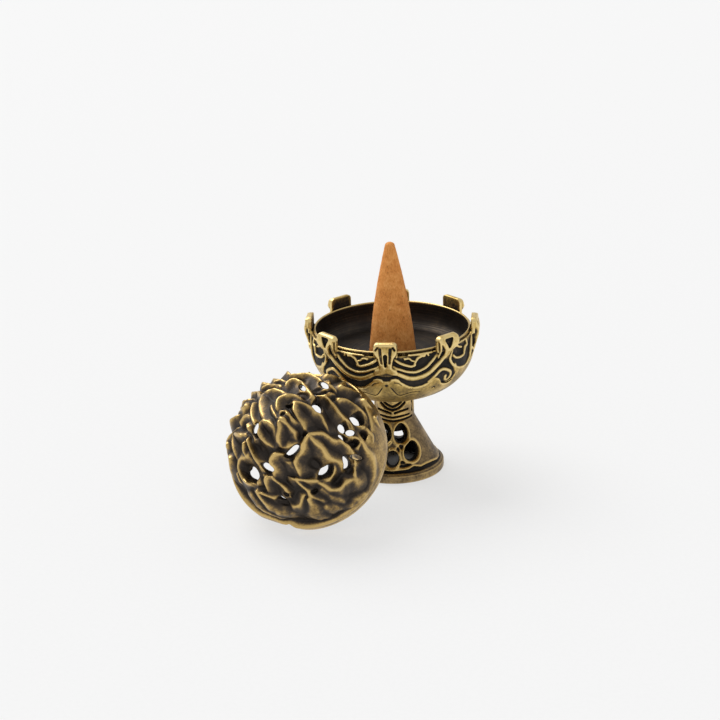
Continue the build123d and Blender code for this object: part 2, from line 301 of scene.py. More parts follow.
class Volume:
    """A distance field sampled on a grid, in millimetres: the bulk of a form, and what is cut from it."""

    def __init__(self, field, low, high, voxel):
        self.low = np.array(low, dtype=float)
        self.voxel = voxel
        counts = [int(math.ceil((high[i] - low[i]) / voxel)) + 1 for i in range(3)]
        axes = [self.low[i] + voxel * np.arange(counts[i]) for i in range(3)]
        self.bulk = np.empty(counts, np.float32)
        self.cut = np.empty(counts, np.float32)
        slab = 16
        for start in range(0, counts[0], slab):
            x, y, z = np.meshgrid(axes[0][start:start + slab], axes[1], axes[2], indexing="ij")
            bulk, cut = field(x, y, z)
            self.bulk[start:start + slab] = bulk
            self.cut[start:start + slab] = cut

    def surface(self):
        """Points in mm and quads, facing outwards."""
        grid = openvdb.FloatGrid(background=3.0)
        grid.copyFromArray(np.clip(np.maximum(self.bulk, self.cut), -3.0, 3.0))
        grid.transform = openvdb.createLinearTransform(voxelSize=self.voxel)
        points, quads = grid.convertToQuads(isovalue=0.0)
        points = points + self.low
        a, b, c = points[quads[:, 0]], points[quads[:, 1]], points[quads[:, 2]]
        if np.einsum("ij,ij->i", a, np.cross(b, c)).sum() < 0:
            quads = quads[:, ::-1]
        return points, quads

    def blurred(self, radius):
        """The bulk averaged over a cube, twice over, clipped so that far values don't count."""
        reach = max(1, int(round(radius / self.voxel)))
        values = np.clip(self.bulk, -2 * radius, 2 * radius)
        for axis in (0, 1, 2, 0, 1, 2):
            pad = [(0, 0)] * 3
            pad[axis] = (reach + 1, reach)
            total = np.cumsum(np.pad(values, pad, mode="edge"), axis=axis, dtype=np.float64)
            size = values.shape[axis]
            upper = np.take(total, range(2 * reach + 1, 2 * reach + 1 + size), axis=axis)
            lower = np.take(total, range(0, size), axis=axis)
            values = ((upper - lower) / (2 * reach + 1)).astype(np.float32)
        return values

    def at(self, values, points):
        """Values at points in mm."""
        return look_up(values, *((points - self.low) / self.voxel).T)


def mesh_object(name, points, faces):
    """Smooth-shaded object from points in mm."""
    mesh = bpy.data.meshes.new(name)
    mesh.from_pydata(np.array(points, dtype=float) * MM, [], faces)
    mesh.shade_smooth()
    mesh.update()
    obj = bpy.data.objects.new(name, mesh)
    bpy.context.scene.collection.objects.link(obj)
    return obj


def apply_modifiers(obj):
    graph = bpy.context.evaluated_depsgraph_get()
    mesh = bpy.data.meshes.new_from_object(obj.evaluated_get(graph), depsgraph=graph)
    obj.modifiers.clear()
    obj.data = mesh


def points_mm(obj):
    """An object's points in millimetres, one to a row."""
    flat = np.empty(len(obj.data.vertices) * 3)
    obj.data.vertices.foreach_get("co", flat)
    return flat.reshape(-1, 3) / MM


def set_attribute(obj, name, values):
    layer = obj.data.attributes.new(name, "FLOAT", "POINT")
    layer.data.foreach_set("value", np.asarray(values, dtype=np.float32))


def keep_largest(points, faces):
    """Drops loose chips: keeps the faces joined to the largest shell."""
    label = np.arange(len(points))
    while True:
        lowest = label[faces].min(axis=1)
        before = label.copy()
        for corner in range(faces.shape[1]):
            np.minimum.at(label, faces[:, corner], lowest)
        label = label[label]
        if np.array_equal(before, label):
            break
    names, sizes = np.unique(label[faces[:, 0]], return_counts=True)
    chosen = names[sizes.argmax()]
    faces = faces[label[faces[:, 0]] == chosen]
    used = np.unique(faces)
    place = np.full(len(points), -1)
    place[used] = np.arange(len(used))
    return points[used], place[faces]


def sculpt(name, field, lift, low, high, detail, matrix=None, soften=None):
    """Mesh of a distance field, thinned, with the attributes that its patina reads.

    detail is the grid's spacing and the number of triangles. crest and form are how far a place
    stands out over a short and a long reach, and lift is how far it stands up in its relief. The
    field is softened where soften(height) is over zero.
    """
    voxel, triangles = detail
    volume = Volume(field, low, high, voxel)
    if soften is not None:
        share = soften(volume.low[2] + voxel * np.arange(volume.bulk.shape[2]))
        near = np.clip(volume.bulk, -2 * SOFTENING, 2 * SOFTENING)
        volume.bulk += (volume.blurred(SOFTENING) - near) * share
    points, quads = volume.surface()
    points, quads = keep_largest(points, quads)
    obj = mesh_object(name, points, quads)
    thin = obj.modifiers.new("thin", "DECIMATE")
    thin.ratio = min(1.0, triangles / (2 * len(quads)))
    apply_modifiers(obj)
    points = points_mm(obj)
    here = volume.at(volume.bulk, points)
    for attribute, reach, full in STANDING_OUT:
        out = volume.at(volume.blurred(reach), points) - np.clip(here, -2 * reach, 2 * reach)
        set_attribute(obj, attribute, np.clip(out / full, -1.0, 1.0))
    set_attribute(obj, "lift", np.clip(lift(*points.T), 0.0, 1.5))
    if matrix is not None:
        obj.data.transform(matrix)
    obj.data.shade_smooth()
    return obj


def lathe(name, outline, segments, wobble=None):
    """Turned mesh about Z from (radius, height) points that start and end on the axis."""
    outline = np.array(outline, dtype=float)
    rings = outline[1:-1]
    turns = np.linspace(0, 2 * math.pi, segments, endpoint=False)
    points = [(0.0, 0.0, outline[0, 1])]
    for r, z in rings:
        for turn in turns:
            grow = 0.0 if wobble is None else wobble(turn, z)
            points.append(((r + grow) * math.sin(turn), -(r + grow) * math.cos(turn), z))
    points.append((0.0, 0.0, outline[-1, 1]))
    faces = []
    for k in range(segments):
        faces.append((0, 1 + (k + 1) % segments, 1 + k))
    for i in range(len(rings) - 1):
        low = 1 + i * segments
        high = low + segments
        for k in range(segments):
            k2 = (k + 1) % segments
            faces.append((low + k, low + k2, high + k2, high + k))
    last = 1 + (len(rings) - 1) * segments
    for k in range(segments):
        faces.append((last + k, last + (k + 1) % segments, len(points) - 1))
    return mesh_object(name, points, faces)


# ------------------------------------------------------------------ foot

# The smooth outside: heights and radii, from the base ring up the slope to the neck
FOOT_PROFILE = ([0, 2.0, 2.4, 2.9, 3.9, 14.5, 15.1, 22.0], [13.0, 13.0, 12.5, 11.8, 11.1, 5.5, 5.3, 5.3])
FOOT_SLOPE = math.atan2(11.1 - 5.5, 14.5 - 3.9)
FOOT_HOLLOW = [(-6, -2.0), (9.9, -2.0), (9.9, 2.5), (4.3, 13.5), (-6, 13.5)]
FOOT_BORE = 2.15
# The grid's spacing and the number of triangles
FOOT_DETAIL = (0.16, 150000)
# How high the windows' rims stand, how deep the pits and the ground under the ragged line are,
# how high the line itself stands, and the height and depth of the groove round the base ring
WINDOW_RIM = 0.3
PIT_DEPTH = 0.55
LINE_DEPTH = 0.55
LINE_RIDGE = 0.22
RING_GROOVE = (2.2, 0.12)
# Windows and small pits of one quarter: angle, height, half width, half height, tilt
FOOT_WINDOWS = [(0, 5.9, 1.85, 2.25, 0), (18.6, 11.9, 1.9, 2.7, -12), (33.2, 7.4, 2.15, 2.8, -28)]
FOOT_PITS = [(16, 8.7, 0.55, 0.8, 20), (9, 7.9, 0.4, 0.7, -10), (14.5, 4.9, 0.75, 0.45, -25),
             (21.5, 4.25, 0.8, 0.3, 10), (14.0, 4.1, 0.7, 0.3, -10)]
# The ragged line over the base ring: angles and heights
FOOT_LINE = ([0, 10, 22, 30, 40, 50, 62, 75, 92], [3.2, 3.3, 3.4, 3.9, 3.4, 3.6, 3.5, 3.1, 2.9])
# Grooves round the neck for one quarter: depth, half width, points of angle and height
NECK_GROOVES = [
    (0.55, 0.36, [(-2, 18.95), (1, 18.9), (13, 19.4), (26, 20.1)]),
    (0.6, 0.36, [(-2, 18.0), (1, 18.0), (17.5, 18.45), (37, 19.75)]),
    (0.5, 0.28, [(5.5, 17.1), (23.5, 17.55), (48.5, 17.75)]),
    (0.5, 0.24, [(-2, 15.85), (0, 15.85), (23, 16.1), (53.5, 16.2)]),
    (0.4, 0.24, [(-2, 14.85), (0, 14.85), (16.5, 14.95), (33, 15.15), (67, 15.35)]),
    (0.5, 0.4, [(66, 20.4), (72, 18.6), (68, 17.0)]),
]


def foot_radius(z):
    """Outer radius of the foot's smooth form at a height."""
    return np.interp(z, *FOOT_PROFILE)


def on_slope(angle, z, centre, height, half_wide, half_tall, tilt):
    """Rough signed distance, in mm, from an oval on the foot's slope."""
    x = np.radians(angle - centre) * foot_radius(height)
    return oval(x, (z - height) / math.cos(FOOT_SLOPE), half_wide, half_tall, tilt)


def foot_relief():
    """Grooves, window rims and the ragged line over the base ring, for one quarter."""
    outline = [(float(foot_radius(z)), z) for z in np.linspace(0.0, NECK_TOP, 240)]
    relief = Relief(outline, -2.0, 92.0, 0.7)
    z = relief.place[..., 2]
    for depth, half, points in NECK_GROOVES:
        mask, distance, _, _ = relief.measure(relief.at_heights(points), half + 1.0)
        relief.height[mask] -= depth * smoothstep(1.35 - distance / half)
    for window in FOOT_WINDOWS:
        from_rim = on_slope(relief.a, z, *window) - 0.32
        relief.height += WINDOW_RIM * np.exp(-(from_rim / 0.3) ** 2)
    for pit in FOOT_PITS:
        relief.height -= PIT_DEPTH * smoothstep(0.5 - on_slope(relief.a, z, *pit) / 0.5)
    line_z = np.interp(relief.a, *FOOT_LINE)
    below = smoothstep((line_z - z) / 0.35) * smoothstep((z - 2.35) / 0.3)
    below *= 1.0 - 0.6 * smoothstep((relief.a - 34) / 14)
    ridge = np.exp(-((z - line_z - 0.15) / 0.22) ** 2) * smoothstep((86 - relief.a) / 20)
    groove = np.exp(-((z - RING_GROOVE[0]) / 0.1) ** 2)
    relief.height += LINE_RIDGE * ridge - LINE_DEPTH * below - RING_GROOVE[1] * groove
    return relief


def make_foot():
    """Pierced hollow foot: turned form with relief, windows, hollow and screw hole."""
    heights = np.linspace(0.25, NECK_TOP, 120)
    side = [(float(foot_radius(h)), h) for h in heights]
    bottom = [(-6, 0.0), (FOOT_RADIUS - 0.25, 0.0)]
    outer = TurnedSolid(bottom + side + [(-6, NECK_TOP)], -1.0, 23.0, 15.0)
    hollow = TurnedSolid(FOOT_HOLLOW, -1.0, 23.0, 15.0)
    relief = foot_relief().settle()

    def field(x, y, z):
        r = np.hypot(x, y)
        folded = folded_angle(x, y)
        smooth = outer(r, z)
        body = relief.raised(smooth, folded, relief.along_at(z))
        body = np.where(z < 0.5, np.maximum(body, smooth), body)
        for window in FOOT_WINDOWS:
            opening = np.where(r > 3.2, on_slope(folded, z, *window), 2.0)
            body = smooth_max(body, -opening, 0.25)
        body = np.maximum(np.maximum(body, z - NECK_TOP), -z)
        return body, np.maximum(-hollow(r, z), FOOT_BORE - r)

    def lift(x, y, z):
        """Full on the outside's high places, little on the base ring, none in grooves and inside. The base
        ring's low value is painted shade for its place by the floor.
        """
        # The last factor darkens the base ring: painted shade by the floor
        return (1.0 + outer(np.hypot(x, y), z) / 0.5) * (1.0 - 0.85 * smoothstep((2.6 - z) / 0.4))

    edge = FOOT_RADIUS + 0.6
    corner = (edge, edge, NECK_TOP + 0.6)
    return sculpt("foot_casting", field, lift, (-edge, -edge, -0.6), corner, FOOT_DETAIL)


# ------------------------------------------------------------------ bowl

# The hollow under the dish, the screw's bore, the grid's spacing and the number of triangles, and
# how deep the pattern's ground is
BOWL_HOLLOW = [(4.2, 23.1), (8.0, 23.4), (12.0, 24.7), (14.6, 26.6), (16.0, 29.0), (16.0, 32.1), (-6, 32.1),
               (-6, 28.0), (4.2, 28.0)]
BOWL_BORE = 2.05
BORE_TOP = 26.5
BOWL_DETAIL = (0.155, 200000)
RECESS = 0.75


def bowl_outline():
    """The bowl's outside from the neck up to the ledge, as (radius, height) points."""
    side_x = BOWL_RADIUS - BOWL_SIDE_ARC
    depth = BOWL_EQUATOR - BOWL_BOTTOM
    base_arc = (side_x ** 2 + depth ** 2 - BOWL_SIDE_ARC ** 2) / (2 * (depth - BOWL_SIDE_ARC))
    base_z = BOWL_BOTTOM + base_arc
    low = -math.degrees(math.asin((base_z - NECK_TOP) / base_arc))
    join = -math.degrees(math.atan2(base_z - BOWL_EQUATOR, side_x))
    high = math.degrees(math.asin((LEDGE - BOWL_EQUATOR) / BOWL_SIDE_ARC))
    under = arc_points((0, base_z), base_arc, low, join, 40)
    return under + arc_points((side_x, BOWL_EQUATOR), BOWL_SIDE_ARC, join, high, 60)[1:]


# Raised lines of the bowl for one quarter, mirrored round it: width, how far they stand past the
# smooth outside, and points of angle from the front and height. The last four are the gold band
# under the ledge and its drops.
BOWL_LINES = [
    (0.64, 0.0, [(5.0, 38.6), (7.5, 37.7), (10.5, 37.0), (14.5, 36.4), (17.5, 36.1), (20.0, 36.4)]),
    (0.64, 0.0, [(19.5, 36.2), (20, 36.9), (21, 37.5), (22.5, 38.1), (24.5, 38.4), (27.5, 38.9)]),
    (0.42, -0.05, [(13, 38.1), (16, 38.2), (18, 37.6), (20.5, 37.3)]),
    (0.64, 0.0, [(5.0, 36.3), (7, 35.8), (10, 35.4), (14, 34.8), (17.5, 34.5), (20.5, 34.4), (24, 34.7),
                 (28, 35.3), (31.5, 36.3), (34.5, 37.3), (37.2, 38.5), (37.8, 39.4)]),
    (1.15, 0.1, [(1, 35.2), (5, 34.8), (8.5, 34.2), (12.5, 33.4), (15.5, 32.9), (19.5, 32.6), (23, 32.7),
                 (27, 33.0), (31, 33.7), (34.5, 34.7), (38, 35.7), (41, 36.6), (44, 37.5), (45.2, 38.4)]),
    (0.68, 0.05, [(51.5, 39.4), (50.6, 38.2), (49.2, 37.3), (48.2, 36.5), (48, 35.8), (49.5, 34.7),
                  (52.5, 33.6), (57, 32.5), (63, 31.9), (68, 31.8), (71.5, 32.5), (74.5, 33.4), (75.5, 34.8),
                  (77, 36.6), (79, 38.0), (82, 39.2)]),
    (0.56, 0.0, [(51.5, 36.5), (54, 35.7), (58, 35.3), (61.5, 35.3), (63.5, 35.6), (64.5, 36.4), (66, 37.2),
                 (69, 37.7), (69, 39.2)]),
    (0.45, 0.0, [(56, 39.0), (58, 38.2), (61, 37.8)]),
    (1.2, 0.05, [(53.0, 33.6), (55, 32.3), (57.5, 31.2), (58.0, 30.1)]),
    (0.76, 0.1, [(31, 31.0), (34, 31.9), (36.5, 32.7), (39, 33.5), (42, 33.7), (45.5, 33.2), (48.8, 32.3),
                 (49.8, 31.3), (49, 30.5), (47, 30.1), (45.0, 30.6), (44.8, 31.4)]),
    (0.5, 0.0, [(79, 35.6), (83, 34.6), (87, 34.2), (92, 34.2)]),
    (0.6, 0.05, [(71, 31.9), (76, 32.2), (82, 32.8), (87, 33.1), (92, 33.1)]),
    (0.75, 0.0, [(16.5, 39.5), (20, 39.3), (23.5, 39.1), (27.5, 39.0), (30, 39.2), (33, 39.4)]),
    (0.5, 0.0, [(24.5, 38.8), (26.5, 38.4), (27.5, 38.5)]),
    (0.45, 0.0, [(29.5, 39.0), (30.3, 38.4)]),
    (0.5, 0.0, [(55, 39.4), (62, 39.3), (70, 39.4)]),
]
# Where the smooth belly ends in a raised edge: angles and heights
SMOOTH_EDGE = [(0, 31.9), (2, 32.0), (3.5, 32.6), (6, 32.8), (8.5, 32.5), (10, 31.7), (13, 30.9), (16, 30.2),
               (19.5, 29.8), (23, 29.8), (26.5, 30.0), (30, 30.5), (32.5, 31.2), (35.5, 31.7), (39, 31.0),
               (42, 29.9), (45.5, 29.1), (50, 29.0), (53, 29.6), (55.5, 31.5), (58, 32.2), (63, 31.6),
               (68, 31.2), (74, 31.6), (82, 32.2), (90, 32.6)]
# Grooves in the belly and beside the spirals: width, depth, points
BOWL_CUTS = [
    (0.16, 0.26, [(3.0, 30.3), (5, 29.1), (7.5, 27.8), (10, 27.3), (13, 27.6), (18.5, 28.2), (25, 28.0)]),
    (0.16, 0.22, [(35.2, 28.5), (36.5, 29.0), (37.8, 28.5)]),
    (0.20, 0.32, [(5.5, 31.8), (8.5, 31.5), (10.5, 30.9)]),
    (0.34, 0.50, [(41.0, 32.4), (41.2, 31.2), (42.6, 29.9), (46, 29.2), (50, 28.9), (53, 29.3)]),
    (0.24, 0.40, [(43.2, 32.6), (46.2, 32.2), (47.0, 31.3)]),
    (0.32, 0.45, [(46.6, 35.0), (49, 33.9), (51.6, 32.6), (52.4, 31.2), (51.2, 29.8)]),
    (0.16, 0.2, [(66, 27.6), (76, 28.0), (86, 29.4)]),
]
# The small round dot at the front of the belly
DOT_HEIGHT = 30.9


def bowl_relief():
    """Cloud lines in the upper band over a smooth belly, for one quarter of the bowl."""
    relief = Relief(bowl_outline(), -3.0, 93.0, 0.3)
    z = relief.place[..., 2]
    edge = np.interp(relief.a, *zip(*SMOOTH_EDGE))
    ground = -RECESS * smoothstep((z - edge - 0.05) / 0.4)
    radius = np.interp(z, relief.outline[:, 1], relief.outline[:, 0])
    share = np.where(z > 30.0, np.clip((radius - DISH_RADIUS - 0.35) / RECESS, 0.35, 1.0), 1.0)

    def raised(width, height, points):
        mask, distance, _, _ = relief.measure(relief.at_heights(points), width + 0.8)
        round_top = smoothstep(1.0 - (distance - 0.18 * width) / (0.6 * width + 0.14))
        rise = (RECESS + height) * round_top - RECESS
        before = relief.height[mask]
        relief.height[mask] = np.where(round_top > 0.0, smooth_max(before, rise, 0.12), before)

    relief.height[:] = -RECESS
    for width, height, points in BOWL_LINES:
        raised(width, height, points)
    relief.height = smooth_max(relief.height, ground, 0.15)
    relief.height += 0.14 * np.exp(-((z - edge + 0.25) / 0.28) ** 2) * smoothstep((38 - relief.a) / 6)
    lip = smoothstep((z - (LEDGE - 0.3)) / 0.2)
    lip *= smoothstep((relief.a - 14) / 2)
    relief.height = np.maximum(relief.height, -RECESS + (RECESS - 0.1) * lip)
    for width, depth, points in BOWL_CUTS:
        mask, distance, _, _ = relief.measure(relief.at_heights(points), width + 0.8)
        relief.height[mask] -= depth * smoothstep(1.0 - (distance - 0.3 * width) / (0.7 * width))
    radius = np.interp(DOT_HEIGHT, relief.outline[:, 1], relief.outline[:, 0])
    dot = np.hypot(np.radians(relief.a) * radius, z - DOT_HEIGHT)
    relief.height -= 0.4 * smoothstep(1.4 - dot / 0.45)
    relief.height = np.maximum(relief.height, -RECESS - 0.05)
    relief.worn = 1.0 + relief.height / RECESS
    relief.height *= share
    return relief


# The claws stand at the four quarters (main) and between them (corner). Each has a tab with
# rounded top corners that narrows into a stem. Points are (across, height): across is positive
# away from the nearer of the front and the back.
CLAW_HALF_WIDTHS = {"main": 3.05, "corner": 3.4}
CLAW_CORNER = 1.25
CLAW_HIGH = 42.88
CLAW_FOOT = 33.4
CLAW_INNER = 20.98
CLAW_BACK = 21.95
CLAW_ROUND = 0.8
# Radius of the outer face: heights and radii
CLAW_FRONTS = {
    "main": ([33.0, 34.4, 35.6, 37.0, 38.2, 39.6, 41.0, 42.0, 42.2, 42.9],
             [21.3, 21.8, 22.2, 22.65, 23.0, 23.1, 22.85, 22.6, 22.7, 22.35]),
    "corner": ([36.2, 37.4, 38.4, 39.4, 40.2, 41.0, 42.2, 42.9],
               [21.5, 21.85, 22.3, 22.8, 22.95, 22.9, 22.6, 22.3]),
}
MAIN_SIDE = [(2.3, 42.1), (2.4, 40.8), (2.0, 40.1), (1.35, 39.2), (1.0, 37.8), (0.8, 36.3), (1.1, 35.4),
             (2.2, 34.8), (0.8, 34.2)]
MAIN_SHAPE = MAIN_SIDE + [(-t, z) for t, z in reversed(MAIN_SIDE)]
MAIN_SLOT = [(0, 36.7, 0.3), (0, 39.5, 0.52)]
MAIN_GROOVE = [(1.0, 37.6, 0.2), (1.35, 41.3, 0.36)]
MAIN_HOOK = [(1.95, 41.75, 0.2), (2.45, 41.15, 0.24)]
CORNER_SHAPE = [(-2.6, 42.1), (2.6, 42.1), (2.7, 40.9), (2.2, 40.1), (1.2, 39.3), (0.5, 38.6), (0.2, 37.9),
                (0.05, 36.8), (-0.15, 38.4), (-0.5, 39.6), (-1.3, 40.7), (-2.2, 41.6)]
CORNER_WEDGE = [(-2.4, 40.6), (-1.6, 39.2), (-1.1, 36.0), (-2.45, 36.0), (-2.5, 39.0)]
CORNER_STRAND = [(-2.8, 41.6, 0.3), (-2.8, 40.4, 0.28), (-2.7, 39.0, 0.26), (-2.9, 37.2, 0.2)]
CORNER_TRIANGLE = [(-0.95, 41.75), (1.05, 41.75), (0.1, 39.75)]


def claw_front(z, kind):
    """Radius of a claw's outer face at a height."""
    return np.interp(z, *CLAW_FRONTS[kind])


def rod(t, z, points, hand=1):
    """Signed distance from a line of (across, height, radius) points on a claw's face."""
    nearest = np.full(t.shape, 9.0)
    for start, end in zip(points, points[1:]):
        share, distance = to_segment(hand * t, z, start, end)
        nearest = np.minimum(nearest, distance - start[2] - (end[2] - start[2]) * share)
    return nearest


def claw_tab(t, z, half):
    """Signed distance from the outline of a claw's tab: full width, with rounded top corners."""
    across = np.abs(t) - (half - CLAW_CORNER)
    up = z - (CLAW_HIGH - CLAW_CORNER)
    past = np.hypot(np.maximum(across, 0.0), np.maximum(up, 0.0))
    return past + np.minimum(np.maximum(across, up), 0.0) - CLAW_CORNER


def claw_field(t, r, z, kind):
    """One claw: t across it, away from the nearer of the front and the back, r outwards, z up."""
    depth = claw_front(z, kind) - r
    tab = claw_tab(t, z, CLAW_HALF_WIDTHS[kind])
    side = np.maximum(np.maximum(-depth, CLAW_INNER - r), np.maximum(tab, CLAW_FOOT - z))

    def carve(body, shape, deep, blend):
        return smooth_max(body, -np.maximum(shape, depth - deep), blend)

    if kind == "main":
        body = smooth_max(side, polygon_distance(MAIN_SHAPE, t, z) - CLAW_ROUND, 0.5)
        body = carve(body, rod(t, z, MAIN_SLOT), 1.1, 0.3)
        for hand in (-1, 1):
            body = carve(body, rod(t, z, MAIN_GROOVE, hand), 0.32, 0.35)
            body = carve(body, rod(t, z, MAIN_HOOK, hand), 0.45, 0.3)
    else:
        outline = polygon_distance(CORNER_SHAPE, t, z) - CLAW_ROUND
        outline = smooth_max(outline, -polygon_distance(CORNER_WEDGE, t, z), 0.3)
        body = smooth_max(side, smooth_min(outline, rod(t, z, CORNER_STRAND), 0.2), 0.5)
        body = carve(body, polygon_distance(CORNER_TRIANGLE, t, z) - 0.38, 0.75, 0.25)
    backing = np.maximum(np.maximum(tab, LEDGE - 0.4 - z), np.maximum(r - CLAW_BACK, CLAW_INNER - r))
    return smooth_min(body, backing, 0.2)


def make_bowl():
    """Cast bowl: cloud relief, ledge, eight claws, seat for the dish, hollow and screw boss."""
    outside = bowl_outline()
    outer = TurnedSolid([(-6, NECK_TOP)] + outside + [(-6, LEDGE)], 19.0, 45.0)
    seat = [(-6, DISH_BOTTOM), (17.2, DISH_BOTTOM), (19.6, 33.4), (20.45, 35.0), (DISH_RADIUS, 36.6),
            (DISH_RADIUS, 46.0), (-6, 46.0)]
    cavity = TurnedSolid(seat, 19.0, 45.0)
    hollow = TurnedSolid(BOWL_HOLLOW, 19.0, 45.0)
    relief = bowl_relief().settle()

    def field(x, y, z):
        r = np.hypot(x, y)
        folded = folded_angle(x, y)
        smooth = outer(r, z)
        near = np.maximum(smooth, z - LEDGE)
        body = np.maximum(relief.raised(smooth, folded, relief.along_at(z)), z - LEDGE)
        body = np.where(near > 1.5, near, body)
        claws = np.full(r.shape, 3.0)
        high = (z > 33.2) & (r > 18.5)
        for centre, kind in ((0.0, "main"), (45.0, "corner"), (90.0, "main")):
            pick = high & (np.abs(folded - centre) < 16.0)
            turn = np.radians(folded[pick] - centre)
            claws[pick] = claw_field(r[pick] * np.sin(turn), r[pick] * np.cos(turn), z[pick], kind)
        body = np.maximum(smooth_min(body, claws, 0.45), NECK_TOP - z)
        cut = np.maximum(-cavity(r, z), -hollow(r, z))
        return body, np.maximum(cut, -np.maximum(r - BOWL_BORE, z - BORE_TOP))

    def lift(x, y, z):
        """Full on the relief's high places and the claws' faces, and none in recesses and inside."""
        r = np.hypot(x, y)
        folded = folded_angle(x, y)
        away = outer(r, z)
        on_bowl = relief.sample(relief.worn, folded, relief.along_at(z)) * smoothstep((away + 1.3) / 0.4)
        corner = np.abs(folded - 45.0) < 22.5
        front = np.where(corner, claw_front(z, "corner"), claw_front(z, "main"))
        turn = np.radians(np.where(corner, folded - 45.0, np.where(folded > 67.5, folded - 90.0, folded)))
        half = np.where(corner, CLAW_HALF_WIDTHS["corner"], CLAW_HALF_WIDTHS["main"])
        at_edge = smoothstep((claw_tab(r * np.sin(turn), z, half) + 0.4) / 0.3)
        on_claw = np.maximum(1.0 - (front - r) / 0.7, at_edge)
        on_claw *= smoothstep((r - CLAW_INNER - 0.2) / 0.3)
        on_ledge = np.where(r < DISH_RADIUS + 0.05, 0.0, 0.7)
        inside = (r < DISH_RADIUS + 0.05) & (z > 36.0) & (z < 40.0)
        claw = np.where((z > LEDGE + 0.25) | (away > 0.12), on_claw, on_bowl)
        claw = np.where((np.abs(z - LEDGE) <= 0.25) & (away <= 0.12), on_ledge, claw)
        return np.where(inside, 0.0, claw)

    edge = CLAW_OUTER + 0.7
    low, high = (-edge, -edge, NECK_TOP - 0.6), (edge, edge, CLAW_TOP + 0.7)
    return sculpt("bowl_casting", field, lift, low, high, BOWL_DETAIL)


# ------------------------------------------------------------------ lid

